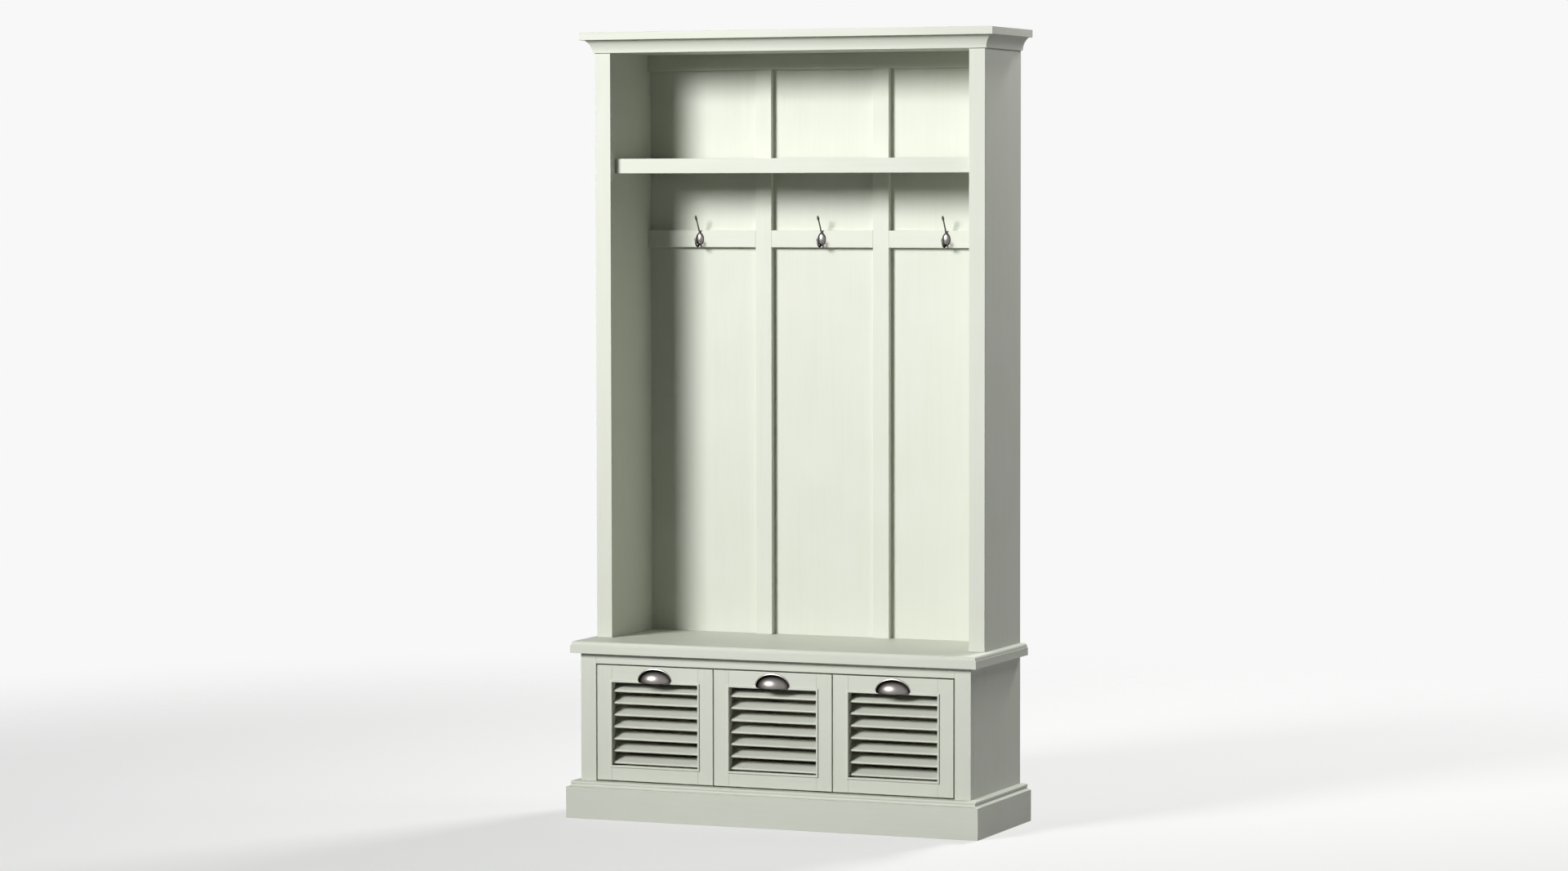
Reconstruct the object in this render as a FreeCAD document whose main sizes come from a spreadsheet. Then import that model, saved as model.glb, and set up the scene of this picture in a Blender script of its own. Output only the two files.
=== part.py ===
import FreeCAD, Part
# A hall bench with three louvre-fronted drawers, and on it an open coat hutch with hooks and a crown.
# Millimetres. X runs to the right, Y to the back, Z up; the origin is on the floor, in the middle.
import math
import os
from types import SimpleNamespace

import Sketcher

Vector = FreeCAD.Vector

SIZES = {
    # carcass
    "overall_height": 2030,
    "carcass_width": 1075,
    "base_depth": 366,
    "hutch_depth": 266,
    "base_board": 18,
    "back_panel": 5.5,
    # plinth, with the steps of its top moulding
    "plinth_height": 96,
    "plinth_proud": 30,
    "plinth_flat": 81,
    "plinth_ledge": 3,
    "plinth_cove": 8,
    "plinth_bead_out": 2,
    "plinth_bead_rise": 3,
    "plinth_round": 4,
    # bench seat, with the steps of its edge
    "seat_height": 459,
    "seat_thickness": 31,
    "seat_overhang": 21,
    "seat_slab": 20,
    "seat_step": 2.5,
    "seat_round": 8,
    # face frame
    "face_stile": 43,
    "face_rail": 27,
    # drawer fronts
    "front_gap": 3.5,
    "front_thickness": 21,
    "front_back_room": 1,
    "front_stile": 41.5,
    "front_top_rail": 42.5,
    "front_bottom_rail": 38.5,
    # louvres
    "slat_chord": 46,
    "slat_thickness": 6,
    "slat_setback": 7,
    "slat_tilt": 20,
    "slat_bottom_rise": 7,
    "slat_top_drop": 24,
    "slat_housing": 7,
    "slat_play": 0.2,
    "bead_width": 6,
    "bead_lap": 1,
    "bead_proud": 3,
    "bead_round": 2.2,
    # drawer boxes
    "box_board": 12,
    "box_height": 210,
    "box_rise": 14,
    "box_back_room": 14,
    "box_floor": 6,
    "box_floor_rise": 10,
    "box_groove": 6,
    "box_groove_play": 0.2,
    # drawer slides
    "slide_space": 13,
    "slide_height": 45,
    "slide_gauge": 1.5,
    "slide_play": 0.4,
    "slide_side_room": 2,
    "slide_end_room": 22,
    "slide_front_room": 2,
    "packer_height": 80,
    # cup pulls
    "pull_width": 90,
    "pull_projection": 26,
    "pull_wall": 2,
    "pull_flange": 3,
    "pull_flange_thickness": 1.6,
    "pull_drop": 3,
    "pull_bead_room": 0.6,
    "pull_lip_tilt": 12,
    "pull_screw_spacing": 60,
    "pull_screw_rise": 12,
    "pull_boss": 8,
    "pull_thread_depth": 9,
    "pull_screw": 4,
    "pull_screw_head": 8,
    "pull_screw_head_height": 2.6,
    "screw_play": 0.1,
    # hutch
    "hutch_side": 43,
    "hutch_top": 33,
    "hat_space": 273,
    "shelf_thickness": 38,
    "shelf_setback": 28,
    "hutch_back": 11.5,
    "back_frame": 18.5,
    "back_stile": 44.5,
    "back_stile_spacing": 329,
    "back_top_rail": 41,
    "hook_rail_drop": 148.5,
    "hook_rail": 44.5,
    "tip_hole": 4,
    "tip_hole_depth": 25,
    "tip_hole_spacing": 800,
    # crown
    "cap_thickness": 20,
    "cap_overhang": 31.5,
    "cove_lip": 6,
    "cove_spread": 21.5,
    # coat hooks
    "hook_spacing": 345.5,
    "hook_drop": 2.5,
    "hook_plate_width": 23,
    "hook_plate_height": 37,
    "hook_plate_dome": 7,
    "hook_rod": 5.4,
    "hook_root": 4,
    "hook_arm_root_rise": 6,
    "hook_arm_radius": 170,
    "hook_arm_lean": 14,
    "hook_arm_sweep": 20,
    "hook_knob": 8,
    "hook_bend_radius": 13,
    "hook_bend_drop": 3.8,
    "hook_tip_rise": 4.3,
    "hook_tip": 7.6,
    "hook_screw": 4,
    "hook_screw_reach": 4,
    "hook_screw_head": 8,
    "hook_screw_head_height": 2.6,
    # how far a cutting tool runs past the piece that it cuts
    "overrun": 6,
}

SLAT_COUNT = 7
QUARTER_TURN = 90
THIRD_TURN = 120
HALF_TURN = 180
SAME = 1e-6
DRAWERS = ("left", "centre", "right")

doc = FreeCAD.newDocument("shutter_locker")
nodes = []


class Size:
    """A length or an angle, known both as a formula over the sheet's cells and as a value."""

    def __init__(self, formula, value):
        self.formula = formula
        self.value = value

    def __add__(self, other):
        other = as_size(other)
        return Size(f"({self.formula} + {other.formula})", self.value + other.value)

    def __sub__(self, other):
        other = as_size(other)
        return Size(f"({self.formula} - {other.formula})", self.value - other.value)

    def __mul__(self, other):
        other = as_size(other)
        return Size(f"({self.formula} * {other.formula})", self.value * other.value)

    def __truediv__(self, other):
        other = as_size(other)
        return Size(f"({self.formula} / {other.formula})", self.value / other.value)

    def __neg__(self):
        return Size(f"(-{self.formula})", -self.value)


def as_size(number):
    """A count, a sign or zero, ready to stand in a formula."""
    if isinstance(number, Size):
        return number
    return Size(f"({number})", number)


def sine(angle):
    """The sine of an angle in degrees."""
    return Size(f"sin({angle.formula} * 1 deg)", math.sin(math.radians(angle.value)))


def cosine(angle):
    """The cosine of an angle in degrees."""
    return Size(f"cos({angle.formula} * 1 deg)", math.cos(math.radians(angle.value)))


def fill_sheet():
    """Writes every driving size to the spreadsheet and returns them under their names."""
    sheet = doc.addObject("Spreadsheet::Sheet", "sizes")
    for row, (name, value) in enumerate(SIZES.items(), start=1):
        sheet.set(f"A{row}", name)
        sheet.set(f"B{row}", str(value))
        sheet.setAlias(f"B{row}", name)
    doc.recompute()
    return SimpleNamespace(**{name: Size(f"sizes.{name}", float(sheet.get(name))) for name in SIZES})


def bind(item, prop, size):
    """Ties one property of a document object to a formula."""
    item.setExpression(prop, as_size(size).formula)


def place(item, x=0, y=0, z=0):
    """Ties the place of a document object to formulas."""
    for axis, size in zip("xyz", (x, y, z)):
        bind(item, f"Placement.Base.{axis}", size)
    return item


def keep(label, item):
    """Marks a document object as a finished sub-part with this name."""
    item.Label = label
    nodes.append(item)
    return item


def board(name, across, along, up):
    """A square-edged board between two places along X, Y and Z, each pair in either order."""
    box = doc.addObject("Part::Box", name)
    spans = (("Length", "x", across), ("Width", "y", along), ("Height", "z", up))
    for prop, axis, span in spans:
        low, high = sorted((as_size(end) for end in span), key=lambda end: end.value)
        bind(box, prop, high - low)
        bind(box, f"Placement.Base.{axis}", low)
    return box


def rod(name, diameter, x, along, z):
    """A round bar that runs from back to front between two places along Y."""
    low, high = sorted(along, key=lambda end: end.value)
    bar = doc.addObject("Part::Cylinder", name)
    bind(bar, "Radius", diameter / 2)
    bind(bar, "Height", high - low)
    bar.Placement = FreeCAD.Placement(Vector(), FreeCAD.Rotation(Vector(1, 0, 0), QUARTER_TURN))
    return place(bar, x, high, z)


def ball(name, diameter, x, y, z):
    """A round ball about a point."""
    sphere = doc.addObject("Part::Sphere", name)
    bind(sphere, "Radius", diameter / 2)
    return place(sphere, x, y, z)


def egg(name, half_width, half_depth, half_height, y=0, z=0):
    """An ellipsoid on the middle plane."""
    shape = doc.addObject("Part::Ellipsoid", name)
    bind(shape, "Radius1", half_height)
    bind(shape, "Radius2", half_width)
    bind(shape, "Radius3", half_depth)
    return place(shape, 0, y, z)


def group(name, pieces):
    """Separate solids that share one name."""
    together = doc.addObject("Part::Compound", name)
    together.Links = list(pieces)
    return together


def moved(name, pieces, x=0, y=0, z=0):
    """The same pieces again, shifted."""
    return place(group(name, pieces), x, y, z)


def fuse(name, pieces):
    """Several shapes grown into one."""
    joined = doc.addObject("Part::MultiFuse", name)
    joined.Shapes = list(pieces)
    return joined


def cut(name, base, tools):
    """A shape with others taken out of it."""
    result = doc.addObject("Part::Cut", name)
    result.Base = base
    result.Tool = tools[0] if len(tools) == 1 else group(f"{name}_tools", tools)
    return result


def common(name, base, tool):
    """What two shapes share."""
    result = doc.addObject("Part::Common", name)
    result.Base = base
    result.Tool = tool
    return result


def mirrored(name, source):
    """The same piece on the other hand."""
    twin = doc.addObject("Part::Mirroring", name)
    twin.Source = source
    twin.Normal = Vector(1, 0, 0)
    return twin


def sketch_on(body, role, name):
    """An empty sketch on one of a body's own origin planes."""
    sketch = body.newObject("Sketcher::SketchObject", name)
    plane = next(item for item in body.Origin.OriginFeatures if item.Role == role)
    sketch.AttachmentSupport = [(plane, "")]
    sketch.MapMode = "FlatFace"
    return sketch


def trace(sketch, corners):
    """Draws a closed outline and ties every corner to its formulas.

    A corner is (u, v) where a straight edge follows it, or (u, v, radius, centre_u, centre_v) where an
    arc follows it.
    """
    first_edge = sketch.GeometryCount
    ends = []
    points = [Vector(as_size(corner[0]).value, as_size(corner[1]).value, 0) for corner in corners]
    for index, corner in enumerate(corners):
        start = points[index]
        stop = points[(index + 1) % len(points)]
        if len(corner) == 2:
            sketch.addGeometry(Part.LineSegment(start, stop), False)
            ends.append((1, 2))
            continue
        centre = Vector(corner[3].value, corner[4].value, 0)
        angles = [math.atan2(point.y - centre.y, point.x - centre.x) for point in (start, stop)]
        forward = (start - centre).cross(stop - centre).z > 0
        if not forward:
            angles.reverse()
        circle = Part.Circle(centre, Vector(0, 0, 1), corner[2].value)
        arc = sketch.addGeometry(Part.ArcOfCircle(circle, angles[0], angles[1]), False)
        ends.append((1, 2) if forward else (2, 1))
        radius = sketch.addConstraint(Sketcher.Constraint("Radius", arc, corner[2].value))
        bind(sketch, f"Constraints[{radius}]", corner[2])
    for index, corner in enumerate(corners):
        edge = first_edge + index
        following = (index + 1) % len(corners)
        sketch.addConstraint(Sketcher.Constraint(
            "Coincident", edge, ends[index][1], first_edge + following, ends[following][0]))
        for kind, size in (("DistanceX", as_size(corner[0])), ("DistanceY", as_size(corner[1]))):
            tie = sketch.addConstraint(Sketcher.Constraint(kind, -1, 1, edge, ends[index][0], size.value))
            bind(sketch, f"Constraints[{tie}]", size)
    return sketch


def pad(body, sketch, name, length, both_ways=False):
    """Gives a sketch's outline its length, to one side or half to each."""
    feature = body.newObject("PartDesign::Pad", name)
    feature.Profile = sketch
    feature.Midplane = both_ways
    bind(feature, "Length", length)
    return feature


def soften(body, feature, name, radius, wanted):
    """Rounds those edges of a feature whose middle point passes the test."""
    doc.recompute()
    edges = enumerate(feature.Shape.Edges, start=1)
    chosen = [f"Edge{number}" for number, edge in edges if wanted(edge)]
    fillet = body.newObject("PartDesign::Fillet", name)
    fillet.Base = (feature, chosen)
    bind(fillet, "Radius", radius)
    return fillet


def mitre(body, name, triangles):
    """Cuts the ends of a moulding at the given triangles, seen from above, right through."""
    doc.recompute()
    before = body.Shape.Volume
    sketch = sketch_on(body, "XY_Plane", f"{name}_saw_line")
    for triangle in triangles:
        trace(sketch, triangle)
    pocket = body.newObject("PartDesign::Pocket", f"{name}_saw_cut")
    pocket.Profile = sketch
    pocket.Type = "ThroughAll"
    pocket.Midplane = True
    doc.recompute()
    if body.Shape.Volume >= before:
        raise RuntimeError(f"{name}: the mitre cut nothing")


def moulded_front(name, outline, face_y, out):
    """A moulding along the front, mitred at both ends.

    Args:
        name: the piece's name.
        outline: its section, as corners (outwards, up) from the face that carries it.
        face_y: where that face is.
        out: how far the moulding stands out.
    """
    body = doc.addObject("PartDesign::Body", name)
    section = trace(sketch_on(body, "YZ_Plane", f"{name}_section"), turned(outline, face_y, -1))
    pad(body, section, f"{name}_run", (half_width + out) * 2, both_ways=True)
    inner_x = half_width - d.overrun
    outer_x = half_width + out + d.overrun
    behind_y = face_y + d.overrun
    ahead_y = face_y - out - d.overrun
    right = [(inner_x, behind_y), (outer_x, behind_y), (outer_x, ahead_y)]
    left = [(-x, y) for x, y in right]
    mitre(body, name, [right, left])
    return body


def moulded_return(name, outline, face_y, out):
    """The same moulding along the right side, mitred at the front and square at the back."""
    body = doc.addObject("PartDesign::Body", name)
    middle_y = (back + face_y - out) / 2
    place(body, 0, middle_y, 0)
    section = trace(sketch_on(body, "XZ_Plane", f"{name}_section"), turned(outline, half_width, 1))
    pad(body, section, f"{name}_run", back - face_y + out, both_ways=True)
    inner_x = half_width - d.overrun
    outer_x = half_width + out + d.overrun
    behind_y = face_y + d.overrun - middle_y
    ahead_y = face_y - out - d.overrun - middle_y
    mitre(body, name, [[(inner_x, behind_y), (inner_x, ahead_y), (outer_x, ahead_y)]])
    return body


def turned(outline, face, sign):
    """A section's corners moved from its face to the part's own axes."""
    result = []
    for corner in outline:
        new = [face + corner[0] * sign, corner[1]]
        if len(corner) > 2:
            new += [corner[2], face + corner[3] * sign, corner[4]]
        result.append(tuple(new))
    return result


d = fill_sheet()
zero = as_size(0)

# Places that several pieces share
half_width = d.carcass_width / 2
back = (d.base_depth + d.plinth_proud) / 2
base_front = back - d.base_depth
hutch_front = back - d.hutch_depth
panel_front = back - d.back_panel
seat_bottom = d.seat_height - d.seat_thickness
cap_bottom = d.overall_height - d.cap_thickness
top_bottom = cap_bottom - d.hutch_top

face_inner = half_width - d.face_stile
face_thickness = d.front_thickness + d.front_back_room
face_back = base_front + face_thickness
face_rail_bottom = seat_bottom - d.face_rail
base_inner = half_width - d.base_board
deck_top = d.plinth_height
deck_bottom = deck_top - d.base_board

front_width = (face_inner * 2 - d.front_gap * 4) / 3
front_half = front_width / 2
drawer_pitch = front_width + d.front_gap
front_bottom = d.plinth_height + d.front_gap
front_top = face_rail_bottom - d.front_gap
front_back = base_front + d.front_thickness
opening_half = front_half - d.front_stile
opening_bottom = front_bottom + d.front_bottom_rail
opening_top = front_top - d.front_top_rail

divider_x = drawer_pitch / 2
bay_half = divider_x - d.base_board / 2
box_half = bay_half - d.slide_space
box_inner = box_half - d.box_board
box_bottom = deck_top + d.box_rise
box_top = box_bottom + d.box_height
box_back = panel_front - d.box_back_room
box_back_inner = box_back - d.box_board
floor_bottom = box_bottom + d.box_floor_rise
floor_top = floor_bottom + d.box_floor
slide_z = box_bottom + d.box_height / 2
slide_start = face_back + d.slide_front_room
slide_end = box_back - d.slide_end_room

hutch_inner = half_width - d.hutch_side
hutch_panel_front = back - d.hutch_back
frame_front = hutch_panel_front - d.back_frame
shelf_top = top_bottom - d.hat_space
shelf_bottom = shelf_top - d.shelf_thickness
hook_rail_top = shelf_bottom - d.hook_rail_drop
hook_rail_bottom = hook_rail_top - d.hook_rail
hook_z = hook_rail_top - d.hook_rail / 2 - d.hook_drop
top_rail_bottom = top_bottom - d.back_top_rail

offsets = dict(zip(DRAWERS, (-drawer_pitch, zero, drawer_pitch)))
hook_places = dict(zip(DRAWERS, (-d.hook_spacing, zero, d.hook_spacing)))


def make_plinth():
    """Moulded boards round the foot of the base: flat face, ledge, cove, and a rounded bead on top."""
    ledge_out = d.plinth_proud - d.plinth_ledge
    cove_out = ledge_out - d.plinth_cove
    cove_top = d.plinth_flat + d.plinth_cove
    bead_out = cove_out + d.plinth_bead_out
    bead_top = cove_top + d.plinth_bead_rise
    round_out = bead_out - d.plinth_round
    outline = [
        (zero, zero),
        (d.plinth_proud, zero),
        (d.plinth_proud, d.plinth_flat),
        (ledge_out, d.plinth_flat, d.plinth_cove, ledge_out, cove_top),
        (cove_out, cove_top),
        (bead_out, cove_top),
        (bead_out, bead_top, d.plinth_round, round_out, bead_top),
        (round_out, bead_top + d.plinth_round),
        (zero, bead_top + d.plinth_round),
    ]
    keep("plinth_front", moulded_front("plinth_front", outline, base_front, d.plinth_proud))
    right = keep("plinth_right", moulded_return("plinth_right", outline, base_front, d.plinth_proud))
    keep("plinth_left", mirrored("plinth_left", right))


def make_base():
    """The box under the seat: sides, deck, back, dividers and the face frame."""
    behind_face = (face_back, back)
    inside = (face_back, panel_front)
    up = (zero, seat_bottom)
    keep("base_side_left", board("base_side_left", (-half_width, -base_inner), behind_face, up))
    keep("base_side_right", board("base_side_right", (base_inner, half_width), behind_face, up))
    keep("base_deck", board("base_deck", (-base_inner, base_inner), inside, (deck_bottom, deck_top)))
    keep("base_back", board("base_back", (-base_inner, base_inner), (panel_front, back), up))
    half_board = d.base_board / 2
    dividers = []
    for name, x in (("left", -divider_x), ("right", divider_x)):
        across = (x - half_board, x + half_board)
        dividers.append(board(f"divider_{name}", across, inside, (deck_top, seat_bottom)))
    keep("base_dividers", group("base_dividers", dividers))
    face = (base_front, face_back)
    keep("face_stile_left", board("face_stile_left", (-half_width, -face_inner), face, up))
    keep("face_stile_right", board("face_stile_right", (face_inner, half_width), face, up))
    between = (-face_inner, face_inner)
    top_rail = board("face_top_rail", between, face, (face_rail_bottom, seat_bottom))
    bottom_rail = board("face_bottom_rail", between, face, (zero, d.plinth_height))
    keep("face_rails", group("face_rails", [top_rail, bottom_rail]))


def make_seat():
    """The bench seat: a slab with a stepped and rounded upper edge on the front and both ends."""
    body = doc.addObject("PartDesign::Body", "bench_seat")
    place(body, 0, 0, seat_bottom)
    half = half_width + d.seat_overhang
    front = base_front - d.seat_overhang
    slab_line = [(-half, front), (half, front), (half, back), (-half, back)]
    sketch = trace(sketch_on(body, "XY_Plane", "seat_slab_line"), slab_line)
    pad(body, sketch, "seat_slab", d.seat_slab)
    half = half - d.seat_step
    front = front + d.seat_step
    upper_line = [(-half, front), (half, front), (half, back), (-half, back)]
    sketch = trace(sketch_on(body, "XY_Plane", "seat_upper_line"), upper_line)
    bind(sketch, "AttachmentOffset.Base.z", d.seat_slab)
    upper = pad(body, sketch, "seat_upper", d.seat_thickness - d.seat_slab)
    top = d.seat_thickness.value

    def on_moulded_edge(edge):
        middle = edge.valueAt((edge.FirstParameter + edge.LastParameter) / 2)
        at_top = math.isclose(edge.BoundBox.ZMin, top, abs_tol=SAME)
        return at_top and not math.isclose(middle.y, back.value, abs_tol=SAME)

    soften(body, upper, "seat_nosing", d.seat_round, on_moulded_edge)
    keep("bench_seat", body)


def channel(name, side, start, stop, half_height, web_first):
    """One folded steel member of a slide, a C in section.

    Args:
        name: the member's name.
        side: -1 or 1, the side of the drawer that it runs on.
        start: its near edge, counted from the wall of the bay.
        stop: its far edge, counted from the wall of the bay.
        half_height: half its height.
        web_first: whether its web is at start, or at stop.
    """
    along = (slide_start, slide_end)
    across = tuple((bay_half - reach) * side for reach in (start, stop))
    blank = board(f"{name}_blank", across, along, (slide_z - half_height, slide_z + half_height))
    if web_first:
        hollow = (start + d.slide_gauge, stop + d.overrun)
    else:
        hollow = (start - d.overrun, stop - d.slide_gauge)
    hollow_across = tuple((bay_half - reach) * side for reach in hollow)
    inner_half = half_height - d.slide_gauge
    hollow_along = (slide_start - d.overrun, slide_end + d.overrun)
    fold = board(f"{name}_fold", hollow_across, hollow_along, (slide_z - inner_half, slide_z + inner_half))
    return cut(name, blank, [fold])


def make_slides():
    """Telescopic slides: three folded members that nest with a running gap, on both sides of a drawer."""
    nest = d.slide_gauge + d.slide_play
    outer_half = d.slide_height / 2
    reach = d.slide_space - d.slide_side_room
    members = {"cabinet": [], "middle": [], "drawer": []}
    for hand, side in (("left", -1), ("right", 1)):
        members["cabinet"].append(channel(f"cabinet_member_{hand}", side, zero, reach, outer_half, True))
        members["middle"].append(channel(f"middle_member_{hand}", side, nest, reach, outer_half - nest, True))
        inner_half = outer_half - nest * 2
        members["drawer"].append(
            channel(f"drawer_member_{hand}", side, nest * 2, d.slide_space, inner_half, False))
    fixed = [moved(f"cabinet_pair_{name}", members["cabinet"], x) for name, x in offsets.items()]
    keep("slide_cabinet_members", group("slide_cabinet_members", fixed))
    for name, x in offsets.items():
        label = f"slide_middle_members_{name}"
        keep(label, moved(label, members["middle"], x))
        label = f"drawer_{name}_slide_members"
        keep(label, moved(label, members["drawer"], x))
    packer_face = drawer_pitch + bay_half
    half = d.packer_height / 2
    up = (slide_z - half, slide_z + half)
    packers = []
    for hand, side in (("left", -1), ("right", 1)):
        across = (packer_face * side, base_inner * side)
        packers.append(board(f"packer_{hand}", across, (face_back, slide_end), up))
    keep("slide_packers", group("slide_packers", packers))


def blade(name, half_length, radius):
    """A flat bar with round edges, its front edge's centre on the X axis and its width along Y."""
    between = d.slat_chord - d.slat_thickness
    parts = [board(f"{name}_flat", (-half_length, half_length), (zero, between), (-radius, radius))]
    for edge, y in (("front", zero), ("rear", between)):
        bar = doc.addObject("Part::Cylinder", f"{name}_{edge}_edge")
        bind(bar, "Radius", radius)
        bind(bar, "Height", half_length * 2)
        bar.Placement = FreeCAD.Placement(Vector(), FreeCAD.Rotation(Vector(0, 1, 0), QUARTER_TURN))
        parts.append(place(bar, -half_length, y, 0))
    return fuse(name, parts)


def louvre(name, pattern):
    """A stack of tilted blades in the opening of a drawer front."""
    rise = opening_top - opening_bottom - d.slat_bottom_rise - d.slat_top_drop
    first_z = opening_bottom + d.slat_bottom_rise
    y = base_front + d.slat_setback + d.slat_thickness / 2
    blades = []
    for index in range(SLAT_COUNT):
        copy = group(f"{name}_{index + 1}", [pattern])
        copy.Placement = FreeCAD.Placement(Vector(), FreeCAD.Rotation(Vector(1, 0, 0), d.slat_tilt.value))
        bind(copy, "Placement.Rotation.Angle", d.slat_tilt)
        blades.append(place(copy, 0, y, first_z + rise * index / (SLAT_COUNT - 1)))
    return group(name, blades)


def bead_strip(name, corners, lengthwise):
    """One mitred strip of the raised bead, rounded along both front edges."""
    body = doc.addObject("PartDesign::Body", name)
    place(body, 0, base_front, 0)
    line = trace(sketch_on(body, "XZ_Plane", f"{name}_line"), corners)
    strip = pad(body, line, f"{name}_run", d.bead_proud)
    doc.recompute()
    front = strip.Shape.BoundBox.YMin

    def along_front(edge):
        at_front = math.isclose(edge.BoundBox.YMax, front, abs_tol=SAME)
        direction = edge.tangentAt(edge.FirstParameter)
        return at_front and math.isclose(abs(direction.dot(lengthwise)), 1, abs_tol=SAME)

    soften(body, strip, f"{name}_round", d.bead_round, along_front)
    return body


def make_bead():
    """The raised bead round a louvre, four strips mitred at the corners."""
    low, high = opening_bottom + d.bead_lap, opening_top - d.bead_lap
    inner = opening_half - d.bead_lap
    outer_low, outer_high = low - d.bead_width, high + d.bead_width
    outer = inner + d.bead_width
    level, upright = Vector(1, 0, 0), Vector(0, 0, 1)
    strips = {
        "bottom": (level, [(-outer, outer_low), (outer, outer_low), (inner, low), (-inner, low)]),
        "top": (level, [(-inner, high), (inner, high), (outer, outer_high), (-outer, outer_high)]),
        "left": (upright, [(-outer, outer_low), (-inner, low), (-inner, high), (-outer, outer_high)]),
        "right": (upright, [(outer, outer_low), (outer, outer_high), (inner, high), (inner, low)]),
    }
    return [bead_strip(f"bead_{side}", line, lengthwise) for side, (lengthwise, line) in strips.items()]


def make_front():
    """A drawer's louvred front: stiles slotted for the slats, rails between them, slats and bead."""
    slat_half = opening_half + d.slat_housing - d.slat_play
    slats = louvre("slat", blade("slat_pattern", slat_half, d.slat_thickness / 2))
    slot_half = opening_half + d.slat_housing
    slots = louvre("slot", blade("slot_pattern", slot_half, d.slat_thickness / 2 + d.slat_play))
    thickness = (base_front, front_back)
    stiles = []
    for hand, side in (("left", -1), ("right", 1)):
        across = (opening_half * side, front_half * side)
        blank = board(f"front_stile_{hand}_blank", across, thickness, (front_bottom, front_top))
        stiles.append(cut(f"front_stile_{hand}", blank, [slots]))
    across = (-opening_half, opening_half)
    top_blank = board("front_top_rail_blank", across, thickness, (opening_top, front_top))
    holes = [
        rod(f"pull_hole_{hand}", d.pull_screw + d.screw_play * 2, x,
            (base_front - d.overrun, front_back + d.overrun), pull_screw_z)
        for hand, x in pull_screw_places]
    top_rail = cut("front_top_rail", top_blank, holes)
    bottom_rail = board("front_bottom_rail", across, thickness, (front_bottom, opening_bottom))
    return {
        "front_stiles": stiles,
        "front_rails": [top_rail, bottom_rail],
        "louvre_slats": [slats],
        "louvre_bead": make_bead(),
    }


def make_box():
    """A drawer's box behind its front: two sides and a back, grooved for the bottom board."""
    up = (box_bottom, box_top)
    reach = box_inner + d.box_groove
    groove_up = (floor_bottom - d.box_groove_play / 2, floor_top + d.box_groove_play / 2)
    groove = board(
        "box_groove", (-reach, reach), (front_back - d.overrun, box_back_inner + d.box_groove), groove_up)
    walls = []
    for hand, side in (("left", -1), ("right", 1)):
        across = (box_inner * side, box_half * side)
        blank = board(f"box_side_{hand}_blank", across, (front_back, box_back), up)
        walls.append(cut(f"box_side_{hand}", blank, [groove]))
    back_blank = board("box_back_blank", (-box_inner, box_inner), (box_back_inner, box_back), up)
    walls.append(cut("box_back", back_blank, [groove]))
    floor_half = reach - d.box_groove_play
    floor_rear = box_back_inner + d.box_groove - d.box_groove_play
    floor_along = (front_back, floor_rear)
    bottom = board("box_bottom", (-floor_half, floor_half), floor_along, (floor_bottom, floor_top))
    return {"box_walls": walls, "box_bottom": [bottom]}


# Where a cup pull sits on the top rail, just above the bead
pull_base = opening_top - d.bead_lap + d.bead_width + d.pull_bead_room
pull_crown = front_top - d.pull_drop - d.pull_flange
pull_screw_z = pull_base + d.pull_screw_rise
pull_screw_places = (("left", -d.pull_screw_spacing / 2), ("right", d.pull_screw_spacing / 2))


def make_pull():
    """A cast cup pull: a hollow quarter egg open below, a thin flange on the wall, two screw bosses.

    The casting is shaped about the middle of its lower edge, then set on the rail.
    """
    half = d.pull_width / 2
    rise = pull_crown - pull_base
    outside = egg("pull_outside", half, d.pull_projection, rise)
    skirt = egg("pull_skirt", half + d.pull_flange, d.pull_projection + d.pull_flange, rise + d.pull_flange)
    hollow = egg("pull_hollow", half - d.pull_wall, d.pull_projection - d.pull_wall, rise - d.pull_wall)
    reach = half + d.pull_flange + d.overrun
    top = rise + d.pull_flange + d.overrun
    front = -d.pull_projection - d.overrun
    across = (-reach, reach)
    plate = board("pull_plate", across, (-d.pull_flange_thickness, zero), (zero, top))
    flange = common("pull_flange", skirt, plate)
    wall_side = board("pull_wall_side", across, (front, zero), (-rise, top))
    lip = doc.addObject("Part::Box", "pull_lip_line")
    bind(lip, "Length", reach * 2)
    bind(lip, "Width", -front)
    bind(lip, "Height", rise * 2)
    turn = FreeCAD.Rotation(Vector(1, 0, 0), HALF_TURN + d.pull_lip_tilt.value)
    lip.Placement = FreeCAD.Placement(Vector(), turn)
    bind(lip, "Placement.Rotation.Angle", d.pull_lip_tilt + HALF_TURN)
    place(lip, -reach, 0, 0)
    cup = cut("pull_cup", common("pull_cup_blank", outside, wall_side), [lip])
    bosses = []
    drills = []
    for hand, x in pull_screw_places:
        bosses.append(rod(f"pull_boss_{hand}", d.pull_boss, x, (front, d.overrun), d.pull_screw_rise))
        depth = (-d.pull_thread_depth - d.screw_play, d.overrun)
        drill = d.pull_screw + d.screw_play * 2
        drills.append(rod(f"pull_thread_{hand}", drill, x, depth, d.pull_screw_rise))
    bowl = cut("pull_bowl", hollow, bosses)
    shell = cut("pull_shell", fuse("pull_whole", [cup, flange]), [bowl])
    casting = moved("pull_casting", [cut("pull_drilled", shell, drills)], 0, base_front, pull_base)
    screws = []
    for hand, x in pull_screw_places:
        along = (base_front - d.pull_thread_depth, front_back)
        shank = rod(f"pull_shank_{hand}", d.pull_screw, x, along, pull_screw_z)
        along = (front_back, front_back + d.pull_screw_head_height)
        head = rod(f"pull_head_{hand}", d.pull_screw_head, x, along, pull_screw_z)
        screws.append(fuse(f"pull_screw_{hand}", [shank, head]))
    return {"cup_pull": [casting], "pull_screws": screws}


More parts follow.
